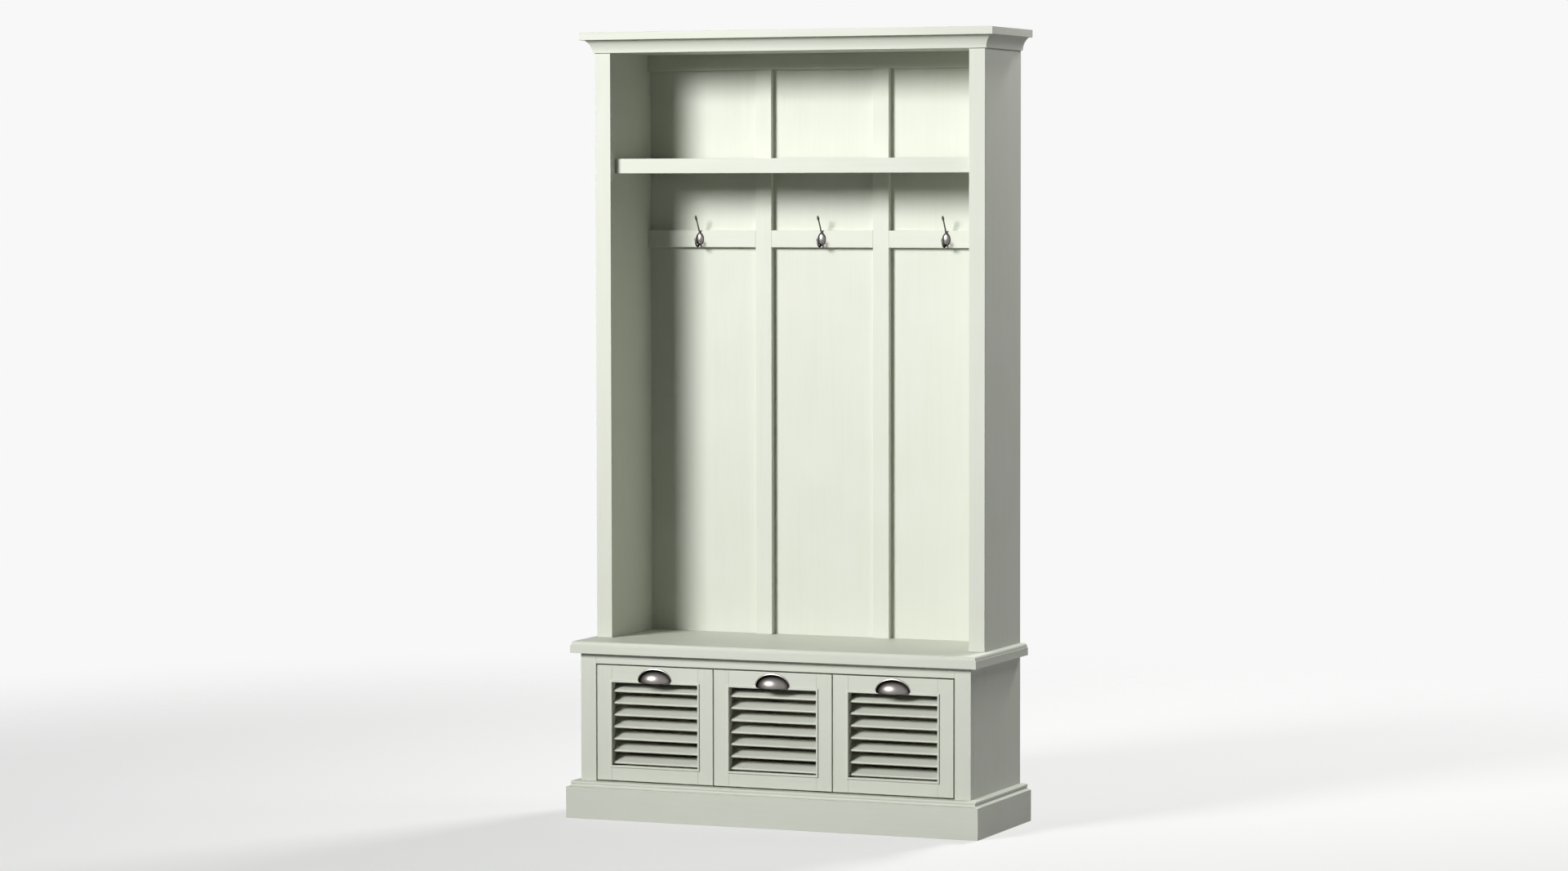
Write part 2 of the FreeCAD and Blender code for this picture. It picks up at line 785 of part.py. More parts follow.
def make_drawers():
    """One drawer's pieces, set out three times."""
    pieces = {**make_front(), **make_box(), **make_pull()}
    for name, x in offsets.items():
        for piece, solids in pieces.items():
            label = f"drawer_{name}_{piece}"
            keep(label, moved(label, solids, x))


def hook_screw_holes(name, diameter, along):
    """Round cutters for the three hook screws."""
    return [rod(f"{name}_{hook}", diameter, x, along, hook_z) for hook, x in hook_places.items()]


def make_hutch():
    """The open upper part: sides, top, hat shelf, back panel and the frame laid on it."""
    deep = (hutch_front, back)
    up = (d.seat_height, cap_bottom)
    between = (-hutch_inner, hutch_inner)
    keep("hutch_side_left", board("hutch_side_left", (-half_width, -hutch_inner), deep, up))
    keep("hutch_side_right", board("hutch_side_right", (hutch_inner, half_width), deep, up))
    top_blank = board("hutch_top_blank", between, deep, (top_bottom, cap_bottom))
    tip_z = (top_bottom + cap_bottom) / 2
    tip_along = (back - d.tip_hole_depth, back + d.overrun)
    tip_holes = [
        rod(f"tip_hole_{hand}", d.tip_hole, d.tip_hole_spacing / 2 * side, tip_along, tip_z)
        for hand, side in (("left", -1), ("right", 1))]
    keep("hutch_top", cut("hutch_top", top_blank, tip_holes))
    shelf_along = (hutch_front + d.shelf_setback, frame_front)
    keep("hat_shelf", board("hat_shelf", between, shelf_along, (shelf_bottom, shelf_top)))
    panel_blank = board("back_panel_blank", between, (hutch_panel_front, back), (d.seat_height, top_bottom))
    clear = d.screw_play * 2
    seat_y = back - d.hook_screw_head_height
    bores = hook_screw_holes("panel_bore", d.hook_screw + clear, (hutch_panel_front - d.overrun, seat_y))
    sinks = hook_screw_holes("panel_sink", d.hook_screw_head + clear, (seat_y, back + d.overrun))
    drilled = cut("back_panel_drilled", panel_blank, bores)
    keep("hutch_back_panel", cut("hutch_back_panel", drilled, sinks))
    frame = (frame_front, hutch_panel_front)
    stile_x = d.back_stile_spacing / 2
    stile_inner = stile_x - d.back_stile / 2
    stile_outer = stile_x + d.back_stile / 2
    stiles = [
        board(f"back_stile_{hand}", (stile_inner * side, stile_outer * side), frame,
              (d.seat_height, top_rail_bottom))
        for hand, side in (("left", -1), ("right", 1))]
    keep("back_stiles", group("back_stiles", stiles))
    keep("back_top_rail", board("back_top_rail", between, frame, (top_rail_bottom, top_bottom)))
    spans = ((-hutch_inner, -stile_outer), (-stile_inner, stile_inner), (stile_outer, hutch_inner))
    through = (frame_front - d.overrun, hutch_panel_front + d.overrun)
    holes = hook_screw_holes("rail_hole", d.hook_screw + clear, through)
    rails = []
    for name, span, hole in zip(DRAWERS, spans, holes):
        blank = board(f"hook_rail_{name}_blank", span, frame, (hook_rail_bottom, hook_rail_top))
        rails.append(cut(f"hook_rail_{name}", blank, [hole]))
    keep("hook_rails", group("hook_rails", rails))


def make_crown():
    """A flat cap board over a cove moulding."""
    half = half_width + d.cap_overhang
    keep("crown_cap", board(
        "crown_cap", (-half, half), (hutch_front - d.cap_overhang, back), (cap_bottom, d.overall_height)))
    out = d.cove_lip + d.cove_spread
    # The hollow starts upright at the lip and reaches its spread under the cap
    radius = (d.cove_spread * d.cove_spread + d.hutch_top * d.hutch_top) / (d.cove_spread * 2)
    outline = [
        (zero, top_bottom),
        (d.cove_lip, top_bottom, radius, d.cove_lip + radius, top_bottom),
        (out, cap_bottom),
        (zero, cap_bottom),
    ]
    keep("crown_cove_front", moulded_front("crown_cove_front", outline, hutch_front, out))
    right = keep("crown_cove_right", moulded_return("crown_cove_right", outline, hutch_front, out))
    keep("crown_cove_left", mirrored("crown_cove_left", right))


def bend(name, bend_radius, sweep, start, y, z):
    """A round bar bent in the middle plane about (y, z), swept by an angle from a first direction.

    The start is the angle of the bar's first end about X, from straight back towards straight up.
    """
    ring = doc.addObject("Part::Torus", f"{name}_ring")
    bind(ring, "Radius1", bend_radius)
    bind(ring, "Radius2", d.hook_rod / 2)
    bind(ring, "Angle3", sweep)
    flat_to_upright = FreeCAD.Rotation(Vector(1, 1, 1), THIRD_TURN)
    ring.Placement = FreeCAD.Placement(Vector(), flat_to_upright)
    bar = group(name, [ring])
    bar.Placement = FreeCAD.Placement(Vector(), FreeCAD.Rotation(Vector(1, 0, 0), start.value))
    bind(bar, "Placement.Rotation.Angle", start)
    return place(bar, 0, y, z)


def make_hooks():
    """Double coat hooks: an oval domed plate, a long upper arm with a knob, a short lower hook."""
    dome = egg(
        "hook_dome", d.hook_plate_width / 2, d.hook_plate_dome, d.hook_plate_height / 2, frame_front, hook_z)
    reach = d.hook_plate_width / 2 + d.overrun
    tall = d.hook_plate_height / 2 + d.overrun
    wall_side = board(
        "hook_wall_side", (-reach, reach), (frame_front - d.hook_plate_dome - d.overrun, frame_front),
        (hook_z - tall, hook_z + tall))
    plate = common("hook_plate", dome, wall_side)
    root_y = frame_front - d.hook_root
    # The upper arm leans forward as it leaves the plate, and leans further as it rises
    arm_root_z = hook_z + d.hook_arm_root_rise
    arm_y = root_y - d.hook_arm_radius * cosine(d.hook_arm_lean)
    arm_z = arm_root_z - d.hook_arm_radius * sine(d.hook_arm_lean)
    arm = bend("hook_arm", d.hook_arm_radius, d.hook_arm_sweep, d.hook_arm_lean, arm_y, arm_z)
    knob_lean = d.hook_arm_lean + d.hook_arm_sweep
    knob_y = arm_y + d.hook_arm_radius * cosine(knob_lean)
    knob_z = arm_z + d.hook_arm_radius * sine(knob_lean)
    knob = ball("hook_knob", d.hook_knob, 0, knob_y, knob_z)
    # The lower hook dips from the plate, comes forward and turns up to its tip
    bend_y = root_y - d.hook_bend_radius
    bend_z = hook_z - d.hook_bend_drop
    half_turn = as_size(HALF_TURN)
    crook = bend("hook_crook", d.hook_bend_radius, half_turn, half_turn, bend_y, bend_z)
    tip_y = bend_y - d.hook_bend_radius
    tip_z = bend_z + d.hook_tip_rise
    riser = doc.addObject("Part::Cylinder", "hook_riser")
    bind(riser, "Radius", d.hook_rod / 2)
    bind(riser, "Height", d.hook_tip_rise)
    place(riser, 0, tip_y, bend_z)
    tip = ball("hook_tip", d.hook_tip, 0, tip_y, tip_z)
    stem = doc.addObject("Part::Cylinder", "hook_stem")
    bind(stem, "Radius", d.hook_rod / 2)
    bind(stem, "Height", arm_root_z - bend_z)
    place(stem, 0, root_y, bend_z)
    whole = fuse("hook_whole", [plate, arm, knob, crook, riser, tip, stem])
    depth = (frame_front - d.hook_screw_reach - d.screw_play, frame_front + d.overrun)
    drill = rod("hook_thread", d.hook_screw + d.screw_play * 2, zero, depth, hook_z)
    casting = cut("hook_casting", whole, [drill])
    for name, x in hook_places.items():
        label = f"coat_hook_{name}"
        keep(label, moved(label, [casting], x))
    seat_y = back - d.hook_screw_head_height
    shank = rod("hook_shank", d.hook_screw, zero, (frame_front - d.hook_screw_reach, seat_y), hook_z)
    head = rod("hook_screw_head", d.hook_screw_head, zero, (seat_y, back), hook_z)
    screw = fuse("hook_screw", [shank, head])
    screws = [moved(f"hook_screw_{name}", [screw], x) for name, x in hook_places.items()]
    keep("hook_screws", group("hook_screws", screws))


def check_all():
    """Stops if any object failed or any sub-part has no sound shape."""
    failed = [item.Name for item in doc.Objects if {"Invalid", "Error"} & set(item.State)]
    if failed:
        raise RuntimeError(f"failed objects: {failed}")
    for item in nodes:
        if item.Shape.isNull() or not item.Shape.isValid() or not item.Shape.Solids:
            raise RuntimeError(f"{item.Label}: no sound solid")


make_plinth()
make_base()
make_seat()
make_slides()
make_drawers()
make_hutch()
make_crown()
make_hooks()
doc.recompute()
check_all()
os.makedirs("parts", exist_ok=True)
for item in nodes:
    item.Shape.exportStep(f"parts/{item.Label}.step")
box = Part.makeCompound([item.Shape for item in nodes]).BoundBox
print(len(nodes), "sub-parts,", sum(len(item.Shape.Solids) for item in nodes), "solids, box", box)
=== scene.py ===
"""Looks of a hall tree: a bench with three louvred drawers under an open coat hutch, in painted wood."""
import logging
import math
from collections.abc import Callable, Iterable, Sequence
from dataclasses import dataclass
from enum import Enum

import bmesh
import bpy
from bmesh.types import BMesh, BMVert
from bpy.types import Material, Mesh, Node, NodeSocket, NodeTree, Object
from mathutils import Euler, Matrix, Vector


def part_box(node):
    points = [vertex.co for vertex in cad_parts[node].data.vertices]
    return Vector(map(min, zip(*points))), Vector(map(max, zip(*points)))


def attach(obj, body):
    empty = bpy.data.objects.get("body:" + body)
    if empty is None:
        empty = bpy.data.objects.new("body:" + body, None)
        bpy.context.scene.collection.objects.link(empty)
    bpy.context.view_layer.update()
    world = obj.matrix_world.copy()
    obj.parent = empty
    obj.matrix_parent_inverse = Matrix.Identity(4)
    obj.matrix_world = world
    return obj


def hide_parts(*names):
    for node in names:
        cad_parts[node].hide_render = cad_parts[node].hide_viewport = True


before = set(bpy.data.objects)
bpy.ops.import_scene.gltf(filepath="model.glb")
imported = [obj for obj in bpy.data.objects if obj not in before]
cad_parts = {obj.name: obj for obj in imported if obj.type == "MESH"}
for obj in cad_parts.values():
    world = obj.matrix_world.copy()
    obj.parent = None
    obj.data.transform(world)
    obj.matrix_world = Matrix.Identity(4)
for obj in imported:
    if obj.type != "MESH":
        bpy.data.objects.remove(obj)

LOG = logging.getLogger("hall_tree")
MM = 0.001
WELD = 0.01 * MM
# Faces that turn by less than the first angle are one flat face; edges over the second are eased
FLAT_ANGLE = math.radians(0.5)
EASE_ANGLE = math.radians(40)
# Slats and screws keep an edge where their faces meet at more degrees than this
SHARP_EDGE = 45.0
SLAT_ROUND = 0.49
SLAT_ROUND_STEPS = 6
GRAIN = "board"
# Every board shows another stretch of the grain, by its number and by its place
GRAIN_STEP = Vector((0.37, 0.83, 0.59))
GRAIN_SPREAD = 3
PHOTO_WIDTH_PX = 1920
SENSOR_WIDTH = 36.0

Point = tuple[float, float]
Box = tuple[Vector, Vector]
Cut = Callable[[Point], Vector]


class Slot(Enum):
    """The record's material slots."""

    PAINT = "sage_paint"
    NICKEL = "polished_nickel"
    WOOD = "drawer_wood"
    STEEL = "zinc_steel"


class Hand(Enum):
    """Which of the three drawers or hooks, seen from the front."""

    LEFT = "left"
    CENTRE = "centre"
    RIGHT = "right"


def linear(colour: str) -> tuple[float, float, float, float]:
    """Turns an sRGB colour to the linear values that shaders take.

    Args:
        colour: six hex digits after a hash sign.

    Returns:
        Linear red, green, blue, and an alpha of 1.
    """
    values = [int(colour[index:index + 2], 16) / 255 for index in (1, 3, 5)]
    red, green, blue = (v / 12.92 if v <= 0.04045 else ((v + 0.055) / 1.055) ** 2.4 for v in values)
    return red, green, blue, 1.0


def add(tree: NodeTree, kind: str, inputs: dict | None = None, **settings: object) -> Node:
    """Adds a node to a tree.

    Args:
        tree: a shader or geometry tree.
        kind: the node's type.
        inputs: for each input's name or number, a value, or an output to link to it.
        settings: the node's own properties.

    Returns:
        The new node.
    """
    node = tree.nodes.new(kind)
    for name, value in settings.items():
        setattr(node, name, value)
    for key, value in (inputs or {}).items():
        if isinstance(value, NodeSocket):
            tree.links.new(value, node.inputs[key])
        else:
            node.inputs[key].default_value = value
    return node


def new_material(name: str) -> tuple[Material, NodeTree]:
    """Starts a material.

    Args:
        name: the material's name.

    Returns:
        The material and its empty tree.
    """
    material = bpy.data.materials.new(name)
    material.use_nodes = True
    material.node_tree.nodes.clear()
    return material, material.node_tree


@dataclass(frozen=True)
class SatinPaint:
    """Pale sage furniture paint, satin, sprayed on wood and rubbed down between coats.

    The eye sees one even colour with a soft sheen. The wood below telegraphs as faint long streaks, and
    the coats vary a little in thickness, so tone and gloss drift by a percent or two.
    """

    colour: str = "#CACDC1"
    streak: str = "#BFC3B5"
    thin: str = "#CED0C7"
    streak_length: float = 260 * MM
    # Real streaks are under a millimetre wide; these are drawn as coarse as they need to show
    streak_width: float = 7 * MM
    drift: float = 180 * MM
    bump: float = 0.03 * MM
    roughness: Point = (0.48, 0.58)

    def build(self) -> Material:
        """Makes the material.

        Returns:
            The material.
        """
        material, tree = new_material("satin_sage_paint")
        board = add(tree, "ShaderNodeAttribute", attribute_name=GRAIN)
        along = (1 / self.streak_length, 1 / self.streak_width, 1 / self.streak_width)
        stretched = add(tree, "ShaderNodeMapping", {"Vector": board.outputs["Vector"], "Scale": along})
        streaks = add(tree, "ShaderNodeTexNoise", {
            "Vector": stretched.outputs["Vector"], "Scale": 1.0, "Detail": 4.0, "Roughness": 0.6})
        coats = add(tree, "ShaderNodeTexNoise", {
            "Vector": board.outputs["Vector"], "Scale": 1 / self.drift, "Detail": 2.0})
        sharper = add(tree, "ShaderNodeMapRange", {
            "Value": streaks.outputs["Fac"], "From Min": 0.45, "From Max": 0.75, "To Max": 0.22})
        streaked = add(tree, "ShaderNodeMix", {
            0: sharper.outputs["Result"], 6: linear(self.colour), 7: linear(self.streak)},
            data_type="RGBA")
        uneven = add(tree, "ShaderNodeMapRange", {
            "Value": coats.outputs["Fac"], "From Min": 0.45, "From Max": 0.75, "To Max": 0.5})
        tone = add(tree, "ShaderNodeMix", {
            0: uneven.outputs["Result"], 6: streaked.outputs[2], 7: linear(self.thin)}, data_type="RGBA")
        gloss = add(tree, "ShaderNodeMapRange", {
            "Value": streaks.outputs["Fac"], "From Min": 0.3, "From Max": 0.7,
            "To Min": self.roughness[0], "To Max": self.roughness[1]})
        relief = add(tree, "ShaderNodeBump", {
            "Height": streaks.outputs["Fac"], "Distance": self.bump, "Strength": 0.6})
        shader = add(tree, "ShaderNodeBsdfPrincipled", {
            "Base Color": tone.outputs[2], "Roughness": gloss.outputs["Result"], "IOR": 1.5,
            "Specular IOR Level": 0.3, "Normal": relief.outputs["Normal"]})
        add(tree, "ShaderNodeOutputMaterial", {"Surface": shader.outputs["BSDF"]})
        return material


@dataclass(frozen=True)
class BlackNickel:
    """Zinc castings, tumbled, polished and plated with black nickel.

    The eye sees a dark metal: lamps show on it as broad white glows with soft edges, the pale room as dark
    grey, and the rims look darker still by painted shade: the colour fades to a dark tone as the surface
    turns away from the view. Handling leaves soft patches that are a little less sharp.
    """

    colour: str = "#827F7C"
    # The rim colour is the metal's edge tint, and also the painted shade that its rims fade to away from
    # the view
    rim: str = "#2C2725"
    smudge: float = 9 * MM
    roughness: Point = (0.31, 0.37)

    def build(self) -> Material:
        """Makes the material.

        Returns:
            The material.
        """
        material, tree = new_material("polished_black_nickel")
        place = add(tree, "ShaderNodeTexCoord")
        smudges = add(tree, "ShaderNodeTexNoise", {
            "Vector": place.outputs["Object"], "Scale": 1 / self.smudge, "Detail": 3.0})
        gloss = add(tree, "ShaderNodeMapRange", {
            "Value": smudges.outputs["Fac"], "From Min": 0.3, "From Max": 0.75,
            "To Min": self.roughness[0], "To Max": self.roughness[1]})
        # Painted rim shade: the base colour darkens towards the rims as the surface turns away from the
        # view
        painted_rim_shade_weight = add(tree, "ShaderNodeLayerWeight", {"Blend": 0.5})
        aside = add(tree, "ShaderNodeMapRange", {
            "Value": painted_rim_shade_weight.outputs["Facing"], "From Min": 0.02, "From Max": 0.42})
        tone = add(tree, "ShaderNodeMix", {
            0: aside.outputs["Result"], 6: linear(self.colour), 7: linear(self.rim)}, data_type="RGBA")
        shader = add(tree, "ShaderNodeBsdfPrincipled", {
            "Base Color": tone.outputs[2], "Metallic": 1.0, "Roughness": gloss.outputs["Result"],
            "Specular Tint": linear(self.rim)})
        add(tree, "ShaderNodeOutputMaterial", {"Surface": shader.outputs["BSDF"]})
        return material


@dataclass(frozen=True)
class LacqueredBirch:
    """Birch boards for the drawer boxes and the inside of the base, planed and given clear lacquer.

    The eye sees pale cream wood with fine straight fibres, faint wandering growth bands and short pores.
    """

    light: str = "#C6BCA9"
    dark: str = "#B4A791"
    pore: str = "#978974"
    band: float = 16 * MM
    band_stretch: float = 0.12
    fibre_width: float = 1.6 * MM
    fibre_length: float = 70 * MM
    bump: float = 0.06 * MM
    roughness: Point = (0.32, 0.48)

    def build(self) -> Material:
        """Makes the material.

        Returns:
            The material.
        """
        material, tree = new_material("lacquered_birch")
        board = add(tree, "ShaderNodeAttribute", attribute_name=GRAIN)
        slow = add(tree, "ShaderNodeMapping", {
            "Vector": board.outputs["Vector"],
            "Scale": (self.band_stretch / self.band, 1 / self.band, 1 / self.band)})
        bands = add(tree, "ShaderNodeTexWave", {
            "Vector": slow.outputs["Vector"], "Scale": 0.16, "Distortion": 5.0, "Detail": 3.0,
            "Detail Scale": 0.7}, bands_direction="Y")
        fine = add(tree, "ShaderNodeMapping", {
            "Vector": board.outputs["Vector"],
            "Scale": (1 / self.fibre_length, 1 / self.fibre_width, 1 / self.fibre_width)})
        fibres = add(tree, "ShaderNodeTexNoise", {
            "Vector": fine.outputs["Vector"], "Scale": 1.0, "Detail": 3.0, "Roughness": 0.65})
        banded = add(tree, "ShaderNodeMix", {
            0: bands.outputs["Fac"], 6: linear(self.light), 7: linear(self.dark)}, data_type="RGBA")
        pores = add(tree, "ShaderNodeMapRange", {
            "Value": fibres.outputs["Fac"], "From Min": 0.55, "From Max": 0.8, "To Max": 0.6})
        tone = add(tree, "ShaderNodeMix", {
            0: pores.outputs["Result"], 6: banded.outputs[2], 7: linear(self.pore)}, data_type="RGBA")
        gloss = add(tree, "ShaderNodeMapRange", {
            "Value": fibres.outputs["Fac"], "From Min": 0.3, "From Max": 0.7,
            "To Min": self.roughness[0], "To Max": self.roughness[1]})
        relief = add(tree, "ShaderNodeBump", {
            "Height": fibres.outputs["Fac"], "Distance": self.bump, "Strength": 0.5})
        shader = add(tree, "ShaderNodeBsdfPrincipled", {
            "Base Color": tone.outputs[2], "Roughness": gloss.outputs["Result"], "IOR": 1.5,
            "Normal": relief.outputs["Normal"]})
        add(tree, "ShaderNodeOutputMaterial", {"Surface": shader.outputs["BSDF"]})
        return material


@dataclass(frozen=True)
class ZincPlate:
    """Rolled steel strip, folded and zinc plated, as on drawer slides and screws.

    The eye sees a cool grey metal with fine lines along the roll and a faint cloudy spangle.
    """

    light: str = "#C9CDD0"
    dark: str = "#A7ADB2"
    spangle: float = 6 * MM
    # Roll lines are finer than this; they are drawn as coarse as they need to show
    line: float = 0.8 * MM
    line_length: float = 90 * MM
    roughness: Point = (0.24, 0.42)

    def build(self) -> Material:
        """Makes the material.

        Returns:
            The material.
        """
        material, tree = new_material("zinc_plated_steel")
        place = add(tree, "ShaderNodeTexCoord")
        cloud = add(tree, "ShaderNodeTexVoronoi", {
            "Vector": place.outputs["Object"], "Scale": 1 / self.spangle}, feature="SMOOTH_F1")
        rolled = add(tree, "ShaderNodeMapping", {
            "Vector": place.outputs["Object"],
            "Scale": (1 / self.line, 1 / self.line_length, 1 / self.line)})
        lines = add(tree, "ShaderNodeTexNoise", {
            "Vector": rolled.outputs["Vector"], "Scale": 1.0, "Detail": 2.0})
        tone = add(tree, "ShaderNodeMix", {
            0: cloud.outputs["Distance"], 6: linear(self.light), 7: linear(self.dark)}, data_type="RGBA")
        gloss = add(tree, "ShaderNodeMapRange", {
            "Value": lines.outputs["Fac"], "From Min": 0.3, "From Max": 0.7,
            "To Min": self.roughness[0], "To Max": self.roughness[1]})
        shader = add(tree, "ShaderNodeBsdfPrincipled", {
            "Base Color": tone.outputs[2], "Metallic": 1.0, "Roughness": gloss.outputs["Result"]})
        add(tree, "ShaderNodeOutputMaterial", {"Surface": shader.outputs["BSDF"]})
        return material


def shown_to_eye(tree: NodeTree) -> NodeSocket:
    """Adds what tells the view and mirror images of the studio from the light that it gives.

    Args:
        tree: the floor's or the surround's tree.

    Returns:
        An output that is 1 for the camera and in reflections and 0 for light on the object.
    """
    path = add(tree, "ShaderNodeLightPath")
    seen = add(tree, "ShaderNodeMath", {
        0: path.outputs["Is Camera Ray"], 1: path.outputs["Is Glossy Ray"]}, operation="ADD")
    shown = add(tree, "ShaderNodeMath", {
        0: seen.outputs["Value"], 1: path.outputs["Is Transmission Ray"]}, operation="ADD", use_clamp=True)
    return shown.outputs["Value"]


@dataclass(frozen=True)
class StudioPaper:
    """A matt white paper sweep under the object, which fades into the white of the studio."""

    colour: str = "#9E9E9D"
    lift: float = 0.52
    fade_start: float = 2.2
    fade_end: float = 4.6

    def build(self) -> Material:
        """Makes the material.

        Returns:
            The material.
        """
        material, tree = new_material("studio_paper")
        place = add(tree, "ShaderNodeTexCoord")
        away = add(tree, "ShaderNodeVectorMath", {0: place.outputs["Object"]}, operation="LENGTH")
        fade = add(tree, "ShaderNodeMapRange", {
            "Value": away.outputs["Value"], "From Min": self.fade_start, "From Max": self.fade_end},
            interpolation_type="SMOOTHSTEP")
        glow = add(tree, "ShaderNodeMath", {0: shown_to_eye(tree), 1: self.lift}, operation="MULTIPLY")
        paper = add(tree, "ShaderNodeBsdfPrincipled", {
            "Base Color": linear(self.colour), "Roughness": 0.9, "Specular IOR Level": 0.1,
            "Emission Color": (1.0, 1.0, 1.0, 1.0), "Emission Strength": glow.outputs["Value"]})
        clear = add(tree, "ShaderNodeBsdfTransparent")
        sweep = add(tree, "ShaderNodeMixShader", {
            0: fade.outputs["Result"], 1: paper.outputs["BSDF"], 2: clear.outputs["BSDF"]})
        add(tree, "ShaderNodeOutputMaterial", {"Surface": sweep.outputs["Shader"]})
        return material


def to_mesh(bm: BMesh, name: str, weld: bool = True) -> Mesh:
    """Ends a bmesh, with its faces turned outwards.

    Args:
        bm: the bmesh, which is freed.
        name: the mesh's name.
        weld: whether points in one place become one point.

    Returns:
        The mesh.
    """
    if weld:
        bmesh.ops.remove_doubles(bm, verts=bm.verts, dist=WELD)
    bmesh.ops.recalc_face_normals(bm, faces=bm.faces)
    mesh = bpy.data.meshes.new(name)
    bm.to_mesh(mesh)
    bm.free()
    return mesh


def smoothed(mesh: Mesh, sharp: float) -> Mesh:
    """Shades a mesh smooth between its sharp edges.

    Args:
        mesh: the mesh.
        sharp: the angle in degrees over which an edge stays sharp.

    Returns:
        The same mesh.
    """
    mesh.shade_smooth()
    mesh.set_sharp_from_angle(angle=math.radians(sharp))
    return mesh


def modified(mesh: Mesh, set_up: Callable[[Object], None]) -> Mesh:
    """Runs modifiers on a mesh.

    Args:
        mesh: the mesh, which is removed.
        set_up: adds the modifiers to a bare object that holds it.

    Returns:
        The result as a plain mesh.
    """
    holder = bpy.data.objects.new("workbench", mesh)
    bpy.context.scene.collection.objects.link(holder)
    set_up(holder)
    depsgraph = bpy.context.evaluated_depsgraph_get()
    result = bpy.data.meshes.new_from_object(holder.evaluated_get(depsgraph), depsgraph=depsgraph)
    result.name = mesh.name
    bpy.data.objects.remove(holder)
    bpy.data.meshes.remove(mesh)
    return result


def eased(mesh: Mesh, radius: float, segments: int = 3) -> Mesh:
    """Rounds the sharp edges of a mesh, as sanding does before painting.

    Args:
        mesh: the mesh, which is removed.
        radius: the radius that the edges get.
        segments: faces across each rounded edge.

    Returns:
        The rounded mesh, with normals that keep its flat faces flat.
    """
    def set_up(holder: Object) -> None:
        """Adds the rounding and the normals.

        Args:
            holder: the bare object that holds the mesh.
        """
        bevel = holder.modifiers.new("eased", "BEVEL")
        bevel.width = radius
        bevel.segments = segments
        bevel.limit_method = "ANGLE"
        bevel.angle_limit = EASE_ANGLE
        bevel.miter_outer = "MITER_ARC"
        normals = holder.modifiers.new("normals", "WEIGHTED_NORMAL")
        normals.keep_sharp = True

    mesh.shade_smooth()
    return modified(mesh, set_up)


def cad_bmesh(node: str) -> BMesh:
    """Copies a CAD node's mesh, welded and with its flat faces whole again.

    Args:
        node: the CAD node's name.

    Returns:
        The copy.
    """
    bm = bmesh.new()
    bm.from_mesh(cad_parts[node].data)
    bmesh.ops.remove_doubles(bm, verts=bm.verts, dist=WELD)
    bmesh.ops.dissolve_limit(bm, angle_limit=FLAT_ANGLE, verts=bm.verts, edges=bm.edges)
    return bm


def islands(bm: BMesh) -> list[list[BMVert]]:
    """Finds the separate solids of a bmesh.

    Args:
        bm: the bmesh.

    Returns:
        Each solid's points.
    """
    seen: set[BMVert] = set()
    found = []
    for start in bm.verts:
        if start in seen:
            continue
        seen.add(start)
        members, front = [start], [start]
        while front:
            point = front.pop()
            for edge in point.link_edges:
                other = edge.other_vert(point)
                if other not in seen:
                    seen.add(other)
                    members.append(other)
                    front.append(other)
        found.append(members)
    return found


def span(points: Iterable[Vector]) -> Box:
    """The lowest and highest corner of some points."""
    columns = list(zip(*points))
    return Vector([min(column) for column in columns]), Vector([max(column) for column in columns])


def solid_boxes(node: str) -> list[Box]:
    """Measures the separate solids of a CAD node.

    Args:
        node: the CAD node's name.

    Returns:
        Their boxes, from left to right and then upwards.
    """
    bm = cad_bmesh(node)
    boxes = [span(vert.co for vert in members) for members in islands(bm)]
    bm.free()
    return sorted(boxes, key=lambda box: (round(box[0].x, 4), box[0].z))


def mark_grain(mesh: Mesh) -> None:
    """Stores on every point its place in its own board, with X along the board's length.

    Args:
        mesh: the mesh, of one or more boards.
    """
    bm = bmesh.new()
    bm.from_mesh(mesh)
    layer = bm.verts.layers.float_vector.new(GRAIN)
    for number, members in enumerate(islands(bm)):
        low, high = span(vert.co for vert in members)
        size = high - low
        order = sorted(range(3), key=lambda axis: -size[axis])
        shift = GRAIN_STEP * number + low * GRAIN_SPREAD
        for vert in members:
            vert[layer] = Vector([vert.co[axis] for axis in order]) + shift
    bm.to_mesh(mesh)
    bm.free()


def add_box(bm: BMesh, low: Vector, high: Vector) -> None:
    """Adds a square-edged board.

    Args:
        bm: the bmesh that gets it.
        low: its lowest corner.
        high: its highest corner.
    """
    matrix = Matrix.Translation((low + high) / 2) @ Matrix.Diagonal((*(high - low), 1))
    bmesh.ops.create_cube(bm, size=1.0, matrix=matrix)


def add_rings(bm: BMesh, rings: Sequence[Sequence[Vector]]) -> None:
    """Joins rings into a tube with closed ends.

    Args:
        bm: the bmesh that gets it.
        rings: the rings in order, of as many points each.
    """
    verts = [[bm.verts.new(point) for point in ring] for ring in rings]
    for near, far in zip(verts, verts[1:]):
        for index in range(len(near)):
            after = (index + 1) % len(near)
            bm.faces.new((near[index], near[after], far[after], far[index]))
    bm.faces.new(verts[0])
    bm.faces.new(verts[-1])


def arc(centre: Point, radius: float, start: float, stop: float, steps: int) -> list[Point]:
    """Points of a circular arc.

    Args:
        centre: the arc's centre.
        radius: its radius.
        start: its first angle in degrees.
        stop: its last angle in degrees.
        steps: how many chords it has.

    Returns:
        The points from start to stop.
    """
    angles = [math.radians(start + (stop - start) * index / steps) for index in range(steps + 1)]
    x, y = centre
    return [(x + radius * math.cos(angle), y + radius * math.sin(angle)) for angle in angles]


def turned(outline: Sequence[Point], sides: int, name: str) -> Mesh:
    """A shape turned about Z.

    Args:
        outline: (radius, height) points, from the axis back to the axis.
        sides: how many faces go round.
        name: the mesh's name.

    Returns:
        The closed mesh.
    """
    bm = bmesh.new()
    rings = []
    for radius, height in outline:
        angles = [2 * math.pi * index / sides for index in range(sides)]
        rings.append([Vector((radius * math.cos(a), radius * math.sin(a), height)) for a in angles])
    add_rings(bm, rings)
    return to_mesh(bm, name)


